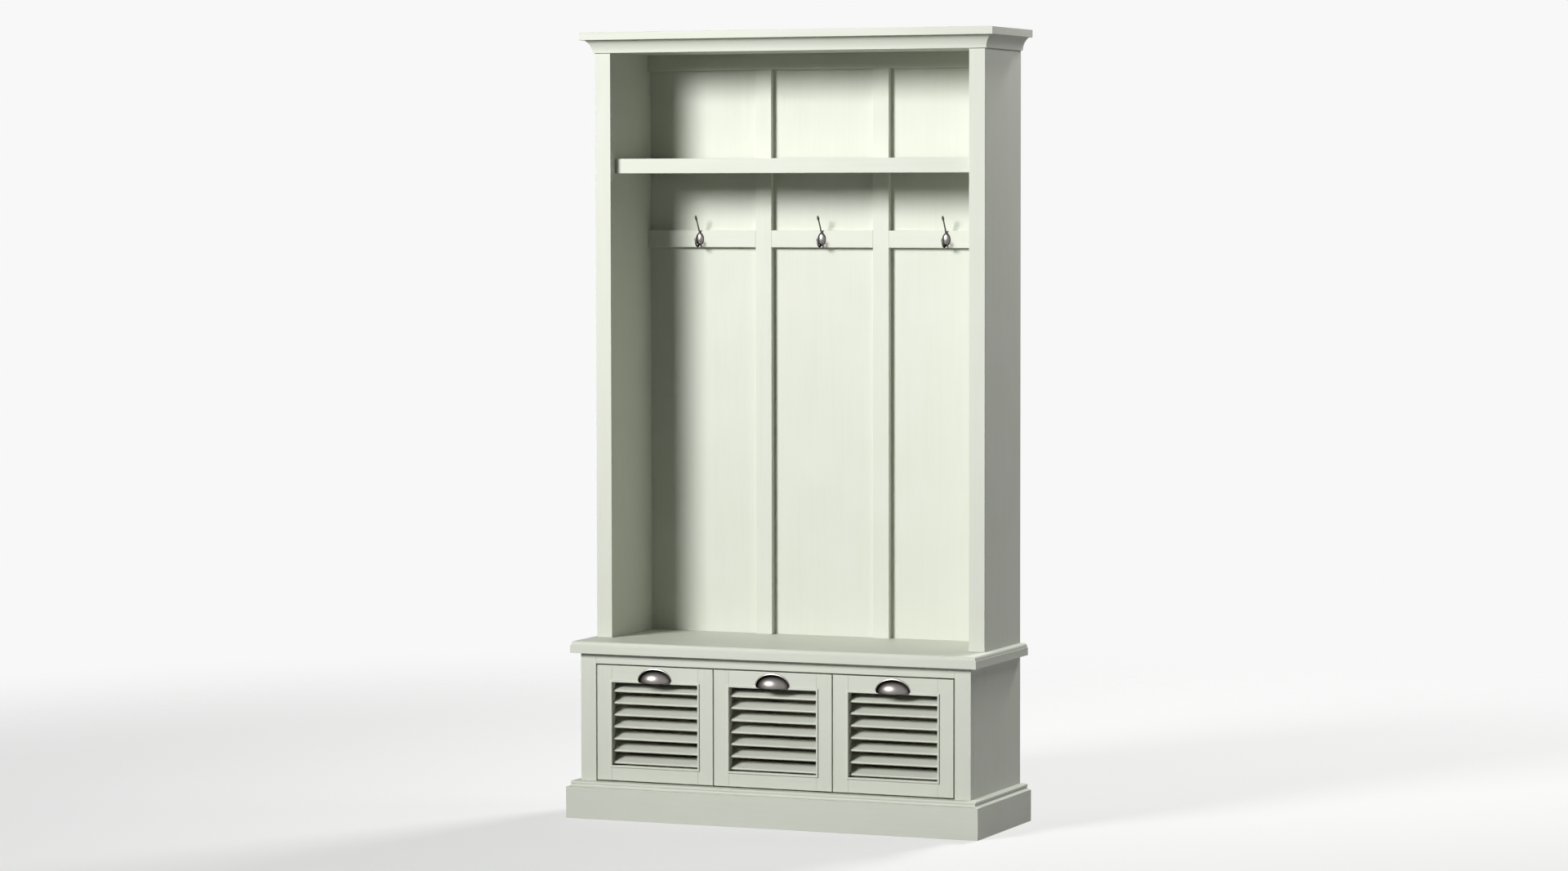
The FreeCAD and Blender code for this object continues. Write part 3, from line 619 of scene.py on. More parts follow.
def interface(tree: NodeTree, sockets: dict[str, str]) -> Node:
    """Gives a geometry tree its named inputs and its one output.

    Args:
        tree: the tree.
        sockets: each input's name and socket type.

    Returns:
        The node that hands out the inputs.
    """
    for name, kind in sockets.items():
        tree.interface.new_socket(name, in_out="INPUT", socket_type=kind)
    tree.interface.new_socket("Result", in_out="OUTPUT", socket_type="NodeSocketGeometry")
    return add(tree, "NodeGroupInput")


def close_tree(tree: NodeTree, instances: NodeSocket, material: NodeSocket) -> None:
    """Ends a geometry tree in real meshes.

    Args:
        tree: the tree.
        instances: the output that gives what was set out.
        material: the output that gives its material.
    """
    real = add(tree, "GeometryNodeRealizeInstances", {"Geometry": instances})
    dressed = add(tree, "GeometryNodeSetMaterial", {
        "Geometry": real.outputs["Geometry"], "Material": material})
    add(tree, "NodeGroupOutput", {"Result": dressed.outputs["Geometry"]})


def slat_tree() -> NodeTree:
    """Lays out a stack of tilted slats with round edges, all alike, one above another.

    Returns:
        The tree, with named inputs for their sizes.
    """
    tree = bpy.data.node_groups.new("louvre_slats", "GeometryNodeTree")
    given = interface(tree, {
        "Count": "NodeSocketInt", "Length": "NodeSocketFloat", "Chord": "NodeSocketFloat",
        "Thickness": "NodeSocketFloat", "Tilt": "NodeSocketFloat", "Pitch": "NodeSocketFloat",
        "First": "NodeSocketVector", "Material": "NodeSocketMaterial"})
    half = add(tree, "ShaderNodeMath", {0: given.outputs["Length"], 1: 0.5}, operation="MULTIPLY")
    minus = add(tree, "ShaderNodeMath", {0: half.outputs["Value"], 1: -1.0}, operation="MULTIPLY")
    start = add(tree, "ShaderNodeCombineXYZ", {"X": minus.outputs["Value"]})
    stop = add(tree, "ShaderNodeCombineXYZ", {"X": half.outputs["Value"]})
    run = add(tree, "GeometryNodeCurvePrimitiveLine", {"Start": start.outputs[0], "End": stop.outputs[0]})
    section = add(tree, "GeometryNodeCurvePrimitiveQuadrilateral", {
        "Width": given.outputs["Chord"], "Height": given.outputs["Thickness"]})
    edge = add(tree, "ShaderNodeMath", {
        0: given.outputs["Thickness"], 1: SLAT_ROUND}, operation="MULTIPLY")
    rounded = add(tree, "GeometryNodeFilletCurve", {
        "Curve": section.outputs["Curve"], "Radius": edge.outputs["Value"],
        "Count": SLAT_ROUND_STEPS}, mode="POLY")
    slat = add(tree, "GeometryNodeCurveToMesh", {
        "Curve": run.outputs["Curve"], "Profile Curve": rounded.outputs["Curve"], "Fill Caps": True})
    step = add(tree, "ShaderNodeCombineXYZ", {"Z": given.outputs["Pitch"]})
    places = add(tree, "GeometryNodeMeshLine", {
        "Count": given.outputs["Count"], "Start Location": given.outputs["First"],
        "Offset": step.outputs[0]})
    lean = add(tree, "ShaderNodeCombineXYZ", {"X": given.outputs["Tilt"]})
    stack = add(tree, "GeometryNodeInstanceOnPoints", {
        "Points": places.outputs["Mesh"], "Instance": slat.outputs["Mesh"], "Rotation": lean.outputs[0]})
    close_tree(tree, stack.outputs["Instances"], given.outputs["Material"])
    return tree


def row_tree() -> NodeTree:
    """Lays out a straight row of one small part, such as a screw, each turned the same way.

    Returns:
        The tree, with named inputs for the part and its places.
    """
    tree = bpy.data.node_groups.new("row_of_screws", "GeometryNodeTree")
    given = interface(tree, {
        "Part": "NodeSocketObject", "Count": "NodeSocketInt", "First": "NodeSocketVector",
        "Step": "NodeSocketVector", "Turn": "NodeSocketVector", "Material": "NodeSocketMaterial"})
    part = add(tree, "GeometryNodeObjectInfo", {"Object": given.outputs["Part"], "As Instance": True})
    places = add(tree, "GeometryNodeMeshLine", {
        "Count": given.outputs["Count"], "Start Location": given.outputs["First"],
        "Offset": given.outputs["Step"]})
    row = add(tree, "GeometryNodeInstanceOnPoints", {
        "Points": places.outputs["Mesh"], "Instance": part.outputs["Geometry"],
        "Rotation": given.outputs["Turn"]})
    close_tree(tree, row.outputs["Instances"], given.outputs["Material"])
    return tree


def grown(tree: NodeTree, values: dict[str, object]) -> Mesh:
    """Runs a geometry tree.

    Args:
        tree: the tree.
        values: each input's name and value.

    Returns:
        What it makes, as a plain mesh.
    """
    def set_up(holder: Object) -> None:
        """Adds the tree with its inputs.

        Args:
            holder: the bare object that holds the mesh.
        """
        modifier = holder.modifiers.new(tree.name, "NODES")
        modifier.node_group = tree
        for item in tree.interface.items_tree:
            if item.in_out == "INPUT":
                modifier[item.identifier] = values[item.name]

    return smoothed(modified(bpy.data.meshes.new(tree.name), set_up), SHARP_EDGE)


@dataclass
class Assembly:
    """A sub-assembly, which builds its pieces in their finish and hangs them on the bodies that they move
    with.
    """

    materials: dict[Slot, Material]

    def fit(self, name: str, mesh: Mesh, body: str, slot: Slot, *nodes: str) -> None:
        """Makes a piece of the object from a finished mesh.

        Args:
            name: the piece's name.
            mesh: its mesh, in the part's own frame.
            body: the CAD body that it moves with.
            slot: the finish that it takes.
            nodes: the CAD nodes that it stands for.
        """
        if slot in (Slot.PAINT, Slot.WOOD):
            mark_grain(mesh)
        mesh.name = name
        mesh.materials.clear()
        mesh.materials.append(self.materials[slot])
        piece = bpy.data.objects.new(name, mesh)
        bpy.context.scene.collection.objects.link(piece)
        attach(piece, body)
        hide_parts(*nodes)
        LOG.info("%s: %d faces on %s", name, len(mesh.polygons), body)

    def fit_eased(self, node: str, body: str, slot: Slot, radius: float) -> None:
        """Fits a copy of a CAD node with eased edges in its place."""
        mesh = eased(to_mesh(cad_bmesh(node), node), radius)
        self.fit(f"{node}_eased", mesh, body, slot, node)

    def fit_boards(self, node: str, body: str, slot: Slot, radius: float) -> None:
        """Fits plain boards with eased edges in the place of a CAD node's solids, without hidden cuts.

        Args:
            node: the CAD node.
            body: the CAD body that they move with.
            slot: the finish that they take.
            radius: the radius of their edges.
        """
        bm = bmesh.new()
        for low, high in solid_boxes(node):
            add_box(bm, low, high)
        self.fit(f"{node}_eased", eased(to_mesh(bm, node), radius), body, slot, node)


@dataclass
class Moulding(Assembly):
    """A moulded board round the front and both ends, mitred at the front corners."""

    body: str = "cabinet"
    edge: float = 0.5 * MM

    def run(self, name: str, node: str, outline: Sequence[Point], ends: Sequence[Cut]) -> None:
        """Fits one length of moulding.

        Args:
            name: the piece's name.
            node: the CAD node that it stands for.
            outline: the section, as (outwards, up) points.
            ends: for each end, where a point of the section lies on its saw cut.
        """
        bm = bmesh.new()
        add_rings(bm, [[end(point) for point in outline] for end in ends])
        self.fit(name, eased(to_mesh(bm, name), self.edge, segments=2), self.body, Slot.PAINT, node)

    def surround(
            self, nodes: str, outline: Sequence[Point], half: float, face: float, back: float) -> None:
        """Fits the front length and both returns.

        Args:
            nodes: the start of the three CAD nodes' names.
            outline: the section, as (outwards, up) points.
            half: half the width of the carcass behind.
            face: the place of the carcass's front face along Y.
            back: where the returns end along Y.
        """
        def corner(side: int) -> Cut:
            """The mitred corner on one side."""
            return lambda point: Vector((side * (half + point[0]), face - point[0], point[1]))

        def rear(side: int) -> Cut:
            """The square end at the back on one side."""
            return lambda point: Vector((side * (half + point[0]), back, point[1]))

        self.run(f"{nodes}_front_moulding", f"{nodes}_front", outline, (corner(-1), corner(1)))
        self.run(f"{nodes}_left_moulding", f"{nodes}_left", outline, (corner(-1), rear(-1)))
        self.run(f"{nodes}_right_moulding", f"{nodes}_right", outline, (corner(1), rear(1)))


@dataclass
class Plinth(Moulding):
    """The moulded foot: flat face, small ledge, cove, and a rounded bead on top."""

    flat: float = 81 * MM
    ledge: float = 3 * MM
    cove: float = 8 * MM
    bead_out: float = 2 * MM
    bead_round: float = 4 * MM

    def build(self) -> None:
        """Builds the three lengths."""
        low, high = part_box("plinth_front")
        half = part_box("face_stile_right")[1].x
        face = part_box("face_stile_right")[0].y
        proud = face - low.y
        shelf = proud - self.ledge
        cove_top = self.flat + self.cove
        bead = shelf - self.cove + self.bead_out
        outline = [(0, 0), (proud, 0), (proud, self.flat)]
        outline += arc((shelf, cove_top), self.cove, -90, -180, 10)
        outline += [(bead, cove_top)]
        soft = self.bead_round
        outline += arc((bead - soft, high.z - soft), soft, 0, 90, 8)
        outline += [(0, high.z)]
        self.surround("plinth", outline, half, face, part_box("plinth_left")[1].y)


@dataclass
class Crown(Moulding):
    """The flat cap and the cove moulding under it, which stops a little short of the cap's edge."""

    lip: float = 5 * MM
    overhang: float = 6 * MM
    cap_edge: float = 1.2 * MM

    def build(self) -> None:
        """Builds the cove's three lengths and the cap."""
        low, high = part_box("crown_cove_front")
        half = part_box("hutch_side_right")[1].x
        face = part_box("hutch_side_right")[0].y
        rise = high.z - low.z
        spread = face - low.y - self.lip - self.overhang
        radius = (spread ** 2 + rise ** 2) / (2 * spread)
        sweep = math.degrees(math.asin(rise / radius))
        outline = [(0, low.z)]
        outline += arc((self.lip + radius, low.z), radius, 180, 180 - sweep, 16)
        outline += [(0, high.z)]
        self.surround("crown_cove", outline, half, face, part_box("crown_cove_left")[1].y)
        self.fit_eased("crown_cap", self.body, Slot.PAINT, self.cap_edge)


@dataclass
class Bench(Assembly):
    """The bench: the carcass with its face frame, and the seat with its moulded edge."""

    body: str = "cabinet"
    board_edge: float = 0.8 * MM
    side_edge: float = 0.25 * MM
    seat_slab: float = 20 * MM
    seat_step: float = 2.5 * MM
    seat_round: float = 8 * MM

    def build(self) -> None:
        """Builds the carcass and the seat."""
        for node in ("base_side_left", "base_side_right", "base_back"):
            self.fit_boards(node, self.body, Slot.PAINT, self.side_edge)
        for node in ("face_stile_left", "face_stile_right", "face_rails"):
            self.fit_boards(node, self.body, Slot.PAINT, self.board_edge)
        for node in ("base_deck", "base_dividers", "slide_packers"):
            self.fit_boards(node, self.body, Slot.WOOD, self.board_edge)
        self.build_seat()

    def build_seat(self) -> None:
        """Builds the seat: a slab, a small step, and a rounded upper edge on the front and both ends."""
        low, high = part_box("bench_seat")
        step_z = low.z + self.seat_slab
        levels = [(0, low.z), (0, step_z), (self.seat_step, step_z)]
        soft = self.seat_round
        levels += arc((self.seat_step + soft, high.z - soft), soft, 180, 90, 10)
        bm = bmesh.new()
        rings = []
        for inset, z in levels:
            left, right, front = low.x + inset, high.x - inset, low.y + inset
            plan = ((left, front), (right, front), (right, high.y), (left, high.y))
            rings.append([Vector((x, y, z)) for x, y in plan])
        add_rings(bm, rings)
        mesh = eased(to_mesh(bm, "bench_seat"), self.board_edge, segments=2)
        self.fit("bench_seat_moulded", mesh, self.body, Slot.PAINT, "bench_seat")


@dataclass
class Hutch(Assembly):
    """The open coat hutch: thick sides, top, hat shelf and the framed back."""

    body: str = "cabinet"
    edge: float = 1.2 * MM
    frame_edge: float = 0.8 * MM

    def build(self) -> None:
        """Builds the boards."""
        for node in ("hutch_side_left", "hutch_side_right", "hat_shelf"):
            self.fit_boards(node, self.body, Slot.PAINT, self.edge)
        for node in ("back_stiles", "back_top_rail", "hook_rails"):
            self.fit_boards(node, self.body, Slot.PAINT, self.frame_edge)
        for node in ("hutch_top", "hutch_back_panel"):
            self.fit_eased(node, self.body, Slot.PAINT, self.frame_edge / 2)


@dataclass
class Screws(Assembly):
    """Pan-head screws with a cross recess, set out in rows."""

    head: float = 8 * MM
    head_height: float = 2.6 * MM
    # The head's outline from the middle outwards, as shares of its radius and height
    head_curve: Sequence[Point] = ((0.55, 0.97), (0.8, 0.82), (0.95, 0.5), (1.0, 0.15), (0.98, 0.0))
    shank: float = 4 * MM
    recess: float = 1.1 * MM
    # How far out and how deep the recess goes, as shares of the head's radius and height
    recess_reach: float = 0.62
    recess_floor: float = 0.4
    sides: int = 24
    tree: NodeTree | None = None

    def screw(self, length: float) -> Object:
        """Makes one screw, its head's top on Z and its seat at the origin.

        Args:
            length: the shank's length.

        Returns:
            The screw, to be set out and then removed.
        """
        radius, height = self.head / 2, self.head_height
        outline = [(WELD, height)]
        outline += [(radius * share, height * level) for share, level in self.head_curve]
        outline += [(self.shank / 2, 0), (self.shank / 2, -length + self.shank / 2), (WELD, -length)]
        mesh = turned(outline, self.sides, "screw")
        cross = bmesh.new()
        reach, slit, floor = radius * self.recess_reach, self.recess / 2, height * self.recess_floor
        for x, y in ((reach, slit), (slit, reach)):
            add_box(cross, Vector((-x, -y, floor)), Vector((x, y, 2 * height)))
        cutter = bpy.data.objects.new("screw_recess", to_mesh(cross, "screw_recess"))

        def set_up(holder: Object) -> None:
            """Cuts the recess.

            Args:
                holder: the bare object that holds the screw.
            """
            cut = holder.modifiers.new("recess", "BOOLEAN")
            cut.object = cutter
            cut.use_self = True

        bpy.context.scene.collection.objects.link(cutter)
        part = bpy.data.objects.new("screw", modified(mesh, set_up))
        bpy.data.objects.remove(cutter)
        bpy.context.scene.collection.objects.link(part)
        return part

    def row(self, length: float, count: int, first: Vector, step: Vector, turn: Euler) -> Mesh:
        """Sets out a row of screws.

        Args:
            length: the shank's length.
            count: how many.
            first: the first head's seat.
            step: from each screw to the next.
            turn: how the screws are turned from heads up.

        Returns:
            The row as one mesh.
        """
        if self.tree is None:
            self.tree = row_tree()
        part = self.screw(length)
        mesh = grown(self.tree, {
            "Part": part, "Count": count, "First": first, "Step": step, "Turn": Vector(turn),
            "Material": self.materials[Slot.STEEL]})
        bpy.data.objects.remove(part)
        return mesh

    def fit_row(self, node: str, body: str, length: float, count: int) -> None:
        """Fits a level row of screws, heads to the back, in the place of a CAD node.

        Args:
            node: the CAD node.
            body: the CAD body that they move with.
            length: the shank's length.
            count: how many.
        """
        low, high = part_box(node)
        first = Vector((low.x + self.head / 2, high.y - self.head_height, (low.z + high.z) / 2))
        step = Vector(((high.x - low.x - self.head) / (count - 1), 0, 0))
        mesh = self.row(length, count, first, step, Euler((math.radians(-90), 0, 0)))
        self.fit(f"{node}_cross_head", mesh, body, Slot.STEEL, node)


@dataclass
class CupPull:
    """A cast cup pull, open below: a hollow quarter egg, a flange with a soft rim, two screw bosses."""

    half_width: float = 45 * MM
    projection: float = 26 * MM
    rise: float = 30.9 * MM
    wall: float = 2 * MM
    flange: float = 3 * MM
    flange_thickness: float = 1.6 * MM
    # The flange from the wall over its rim to the dome: angle, and shares of its width and thickness
    flange_curve: Sequence[tuple[float, float, float]] = (
        (0.0, 1.0, 0.0), (0.0, 1.0, 0.45), (0.0, 0.88, 0.85),
        (0.0, 0.62, 1.0), (0.01, 0.35, 1.0), (0.035, 0.12, 0.8))
    dome_start: float = 0.09
    lip_tilt: float = 12.0
    # Points of the rounded lip, as shares of the wall
    lip_curve: Sequence[float] = (0.2, 0.5, 0.8)
    end_angle: float = 2.5
    sharp: float = 50.0
    boss: float = 8 * MM
    boss_place: Point = (30 * MM, 12 * MM)
    boss_length: float = 9 * MM
    boss_sides: int = 24
    steps_across: int = 72
    steps_round: int = 28

    def point(self, across: float, round_angle: float, off: float, lift: float) -> Vector:
        """A point of the egg.

        Args:
            across: the angle from its right end to its left end.
            round_angle: the angle from the wall at the top towards the lip.
            off: how far outside the egg's surface.
            lift: how far it is pushed out from the wall.

        Returns:
            The place, counted from the middle of the pull's lower edge on the wall.
        """
        flat = math.sin(across)
        x = (self.half_width + off) * math.cos(across)
        y = -(self.projection + off) * flat * math.sin(round_angle) - lift * math.sqrt(flat)
        z = (self.rise + off) * flat * math.cos(round_angle)
        return Vector((x, y, z))

    def section(self) -> list[tuple[float, float, float]]:
        """Draws the shell's section, from the flange over the dome to the lip and back inside.

        Returns:
            Each point's angle, offset and lift.
        """
        lip = math.pi - math.atan(self.rise / (self.projection * math.tan(math.radians(self.lip_tilt))))
        soft = self.wall / 2 / self.projection
        start, stop = self.dome_start, lip - soft
        section = [(angle, width * self.flange, height * self.flange_thickness)
                   for angle, width, height in self.flange_curve]
        for index in range(self.steps_round + 1):
            section.append((start + (stop - start) * index / self.steps_round, 0.0, 0.0))
        for share in self.lip_curve:
            section.append((lip - soft * (1 - 2 * min(share, 1 - share)), -self.wall * share, 0.0))
        for index in range(self.steps_round + 1):
            section.append((stop * (1 - index / self.steps_round), -self.wall, 0.0))
        return section

    def mesh(self, seat: Vector) -> Mesh:
        """Builds the pull.

        Args:
            seat: the middle of its lower edge, on the wall.

        Returns:
            The mesh, in place.
        """
        bm = bmesh.new()
        section = self.section()
        end = math.radians(self.end_angle)
        rings = []
        for index in range(self.steps_across + 1):
            across = end + (math.pi - 2 * end) * index / self.steps_across
            rings.append([seat + self.point(across, *place) for place in section])
        add_rings(bm, rings)
        for side in (-1, 1):
            middle = seat + Vector((side * self.boss_place[0], -self.boss_length / 2, self.boss_place[1]))
            turn = Matrix.Rotation(math.radians(90), 4, "X")
            bmesh.ops.create_cone(
                bm, cap_ends=True, segments=self.boss_sides, radius1=self.boss / 2, radius2=self.boss / 2,
                depth=self.boss_length, matrix=Matrix.Translation(middle) @ turn)
        return smoothed(to_mesh(bm, "cup_pull"), self.sharp)


@dataclass
class Drawer(Assembly):
    """A drawer: louvred front, cup pull, birch box and its members of the slides."""

    screws: Screws
    slats: NodeTree
    hand: Hand
    front_edge: float = 0.8 * MM
    box_board: float = 12 * MM
    box_set_in: float = 0.5 * MM
    box_edge: float = 0.7 * MM
    slat_count: int = 7
    slat_chord: float = 46 * MM
    slat_thickness: float = 6 * MM
    slat_tilt: float = 20.0
    bead_width: float = 6 * MM
    bead_round: float = 2.2 * MM
    bead_sharp: float = 40.0
    pull_screws: int = 2
    pull_screw_length: float = 30 * MM
    slide_screw_length: float = 9 * MM
    slide_screws: int = 3
    sheet: float = 1.5 * MM
    fold_edge: float = 0.4 * MM

    def node(self, piece: str) -> str:
        """The CAD node's name of one of this drawer's pieces."""
        return f"drawer_{self.hand.value}_{piece}"

    @property
    def body(self) -> str:
        """The CAD body that this drawer's pieces ride on."""
        return f"drawer_{self.hand.value}"

    def build(self) -> None:
        """Builds the front, the pull, the box and the slides."""
        self.fit_boards(self.node("front_stiles"), self.body, Slot.PAINT, self.front_edge)
        self.fit_boards(self.node("front_rails"), self.body, Slot.PAINT, self.front_edge)
        self.build_slats()
        self.build_bead()
        self.build_pull()
        self.build_box()
        self.build_slides()

    def build_slats(self) -> None:
        """Builds the louvre's slats."""
        node = self.node("louvre_slats")
        low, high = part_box(node)
        tilt = math.radians(self.slat_tilt)
        radius = self.slat_thickness / 2
        reach = (self.slat_chord - self.slat_thickness) / 2
        rise = reach * math.sin(tilt)
        first = Vector(((low.x + high.x) / 2, (low.y + high.y) / 2, low.z + radius + rise))
        last_z = high.z - radius - rise
        mesh = grown(self.slats, {
            "Count": self.slat_count, "Length": high.x - low.x, "Chord": self.slat_chord,
            "Thickness": self.slat_thickness, "Tilt": tilt,
            "Pitch": (last_z - first.z) / (self.slat_count - 1), "First": first,
            "Material": self.materials[Slot.PAINT]})
        self.fit(f"{node}_rounded", mesh, self.body, Slot.PAINT, node)

    def build_bead(self) -> None:
        """Builds the raised bead round the louvre, four strips mitred at the corners."""
        node = self.node("louvre_bead")
        low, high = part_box(node)
        proud = high.y - low.y
        soft = self.bead_round
        outline = [(0.0, 0.0)] + arc((soft, proud - soft), soft, 180, 90, 6)
        outline += arc((self.bead_width - soft, proud - soft), soft, 90, 0, 6) + [(self.bead_width, 0.0)]
        corners = (
            (low.x, low.z, 1, 1), (high.x, low.z, -1, 1),
            (high.x, high.z, -1, -1), (low.x, high.z, 1, -1))
        rings = [
            [Vector((x + across * inset, high.y - out, z + up * inset)) for inset, out in outline]
            for x, z, across, up in corners]
        bm = bmesh.new()
        for number, ring in enumerate(rings):
            add_rings(bm, (ring, rings[(number + 1) % len(rings)]))
        mesh = smoothed(to_mesh(bm, node, weld=False), self.bead_sharp)
        self.fit(f"{node}_rounded", mesh, self.body, Slot.PAINT, node)

    def build_pull(self) -> None:
        """Builds the cup pull and its screws inside the drawer."""
        node = self.node("cup_pull")
        low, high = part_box(node)
        pull = CupPull()
        seat = Vector(((low.x + high.x) / 2, high.y, high.z - pull.flange - pull.rise))
        self.fit(f"{node}_cast", pull.mesh(seat), self.body, Slot.NICKEL, node)
        self.screws.fit_row(self.node("pull_screws"), self.body, self.pull_screw_length, self.pull_screws)

    def build_box(self) -> None:
        """Builds the box: two sides, the back between them, and the bottom board."""
        node = self.node("box_walls")
        low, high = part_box(node)
        left, right = low.x + self.box_board, high.x - self.box_board
        rear = high.y - self.box_set_in
        bm = bmesh.new()
        add_box(bm, low, Vector((left, high.y, high.z)))
        add_box(bm, Vector((right, low.y, low.z)), high)
        add_box(bm, Vector((left, rear - self.box_board, low.z)), Vector((right, rear, high.z)))
        self.fit(f"{node}_eased", eased(to_mesh(bm, node), self.box_edge), self.body, Slot.WOOD, node)
        self.fit_boards(self.node("box_bottom"), self.body, Slot.WOOD, self.box_edge)

    def build_slides(self) -> None:
        """Builds the drawer's own and the middle slide members, and the screws on the box's sides."""
        node = self.node("slide_members")
        self.fit_eased(node, self.body, Slot.STEEL, self.fold_edge)
        middle = f"slide_middle_members_{self.hand.value}"
        self.fit_eased(middle, f"slide_{self.hand.value}", Slot.STEEL, self.fold_edge)
        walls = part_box(self.node("box_walls"))
        low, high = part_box(node)
        step = Vector((0, (high.y - low.y) / (self.slide_screws + 1), 0))
        z = (low.z + high.z) / 2
        sides = (("left", walls[0].x - self.sheet, -1), ("right", walls[1].x + self.sheet, 1))
        for name, x, side in sides:
            turn = Euler((0, math.radians(90 * side), 0))
            mesh = self.screws.row(
                self.slide_screw_length, self.slide_screws, Vector((x, low.y, z)) + step, step, turn)
            self.fit(self.node(f"slide_screws_{name}"), mesh, self.body, Slot.STEEL)


@dataclass
class CoatHooks(Assembly):
    """Three cast double hooks on the hook rail, and the screws that hold them from behind."""

    screws: Screws
    plate_width: float = 23 * MM
    plate_height: float = 34 * MM
    plate_rise: float = 1.8 * MM
    plate_dome: float = 6 * MM
    rod: float = 5.4 * MM
    root: float = 2.1 * MM
    stem: float = 4.2 * MM
    stem_growth: float = 0.1 * MM
    arm_rod: float = 3.6 * MM
    arm_root: float = 4.8 * MM
    arm_root_rise: float = 17.4 * MM
    arm_radius: float = 500 * MM
    arm_lean: float = 28.0
    arm_sweep: float = 6.0
    bud: float = 6.4 * MM
    bud_start: float = 0.74
    bend_radius: float = 13 * MM
    bend_drop: float = 3.8 * MM
    tip_rise: float = 4.3 * MM
    tip: float = 7.6 * MM
    grain_size: float = 0.55 * MM
    screw_length: float = 28.5 * MM
    # How fast the upper arm's flare runs out, as a power
    flare: int = 6
    bar_sides: int = 16
    arm_steps: int = 24
    bend_steps: int = 28
    plate_facets: tuple[int, int] = (48, 32)
    tip_facets: tuple[int, int] = (24, 16)
    softness: float = 0.5
    soft_rounds: int = 5

    def build(self) -> None:
        """Builds the hooks and their screws."""
        pattern = self.casting()
        for hand in Hand:
            node = f"coat_hook_{hand.value}"
            low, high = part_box(node)
            mesh = pattern.copy()
            tip_bottom = self.bend_drop + self.bend_radius + self.rod / 2
            mesh.transform(Matrix.Translation(((low.x + high.x) / 2, high.y, low.z + tip_bottom)))
            self.fit(f"{node}_cast", mesh, "cabinet", Slot.NICKEL, node)
        bpy.data.meshes.remove(pattern)
        self.screws.fit_row("hook_screws", "cabinet", self.screw_length, len(Hand))

    def bar(self, bm: BMesh, line: Sequence[Point], thick: Sequence[float]) -> None:
        """Adds a round bar in the middle plane.

        Args:
            bm: the bmesh that gets it.
            line: its middle line, as (y, z) points.
            thick: its diameter at each point.
        """
        rings = []
        for index, (y, z) in enumerate(line):
            before, after = line[max(index - 1, 0)], line[min(index + 1, len(line) - 1)]
            along = Vector((after[0] - before[0], after[1] - before[1])).normalized()
            ring = []
            for step in range(self.bar_sides):
                angle = 2 * math.pi * step / self.bar_sides
                out, aside = math.cos(angle) * thick[index] / 2, math.sin(angle) * thick[index] / 2
                ring.append(Vector((aside, y - along.y * out, z + along.x * out)))
            rings.append(ring)
        add_rings(bm, rings)

    def arm_thickness(self, share: float) -> float:
        """The upper arm's diameter: flared where it leaves the plate, with a long bud at its end.

        Args:
            share: how far along the arm, 0 at the plate and 1 at the end.

        Returns:
            The diameter there.
        """
        flare = (self.arm_root - self.arm_rod) * (1 - share) ** self.flare
        if share < self.bud_start:
            return self.arm_rod + flare
        swell = math.sin(math.pi * (share - self.bud_start) / (1 - self.bud_start))
        return self.arm_rod + (self.bud - self.arm_rod) * swell

    def casting(self) -> Mesh:
        """Makes one hook as a single casting with soft inner corners.

        Returns:
            Its mesh, about the middle of its plate on the rail.
        """
        bm = bmesh.new()
        size = Matrix.Diagonal((self.plate_width / 2, self.plate_dome, self.plate_height / 2, 1))
        place = Matrix.Translation((0, 0, self.plate_rise))
        around, up = self.plate_facets
        bmesh.ops.create_uvsphere(bm, u_segments=around, v_segments=up, radius=1.0, matrix=place @ size)
        for vert in bm.verts:
            vert.co.y = min(vert.co.y, 0)
        y0 = -self.root
        swing = self.arm_radius
        lean = math.radians(self.arm_lean)
        centre = (y0 - swing * math.cos(lean), self.arm_root_rise - swing * math.sin(lean))
        arm = arc(centre, swing, self.arm_lean, self.arm_lean + self.arm_sweep, self.arm_steps)
        thick = [self.arm_thickness(index / (len(arm) - 1)) for index in range(len(arm))]
        self.bar(bm, [(y0, -self.bend_drop)] + arm, [self.stem] + thick)
        bend = (y0 - self.bend_radius, -self.bend_drop)
        crook = arc(bend, self.bend_radius, 0, -180, self.bend_steps)
        tip = (bend[0] - self.bend_radius, bend[1] + self.tip_rise)
        line = [(y0, self.arm_root_rise)] + crook + [tip]
        thick = [min(self.rod, self.stem + step * self.stem_growth) for step in range(len(line))]
        self.bar(bm, line, thick)
        place = Matrix.Translation((0, *tip))
        around, up = self.tip_facets
        bmesh.ops.create_uvsphere(bm, u_segments=around, v_segments=up, radius=self.tip / 2, matrix=place)

        def set_up(holder: Object) -> None:
            """Grows the shapes into one and softens where they meet.

            Args:
                holder: the bare object that holds them.
            """
            whole = holder.modifiers.new("casting", "REMESH")
            whole.mode = "VOXEL"
            whole.voxel_size = self.grain_size
            soft = holder.modifiers.new("soft", "SMOOTH")
            soft.factor = self.softness
            soft.iterations = self.soft_rounds

        mesh = modified(to_mesh(bm, "coat_hook", weld=False), set_up)
        mesh.shade_smooth()
        return mesh


@dataclass
class Slides(Assembly):
    """The slide members that are screwed to the cabinet."""

    edge: float = 0.4 * MM

    def build(self) -> None:
        """Builds the members."""
        self.fit_eased("slide_cabinet_members", "cabinet", Slot.STEEL, self.edge)


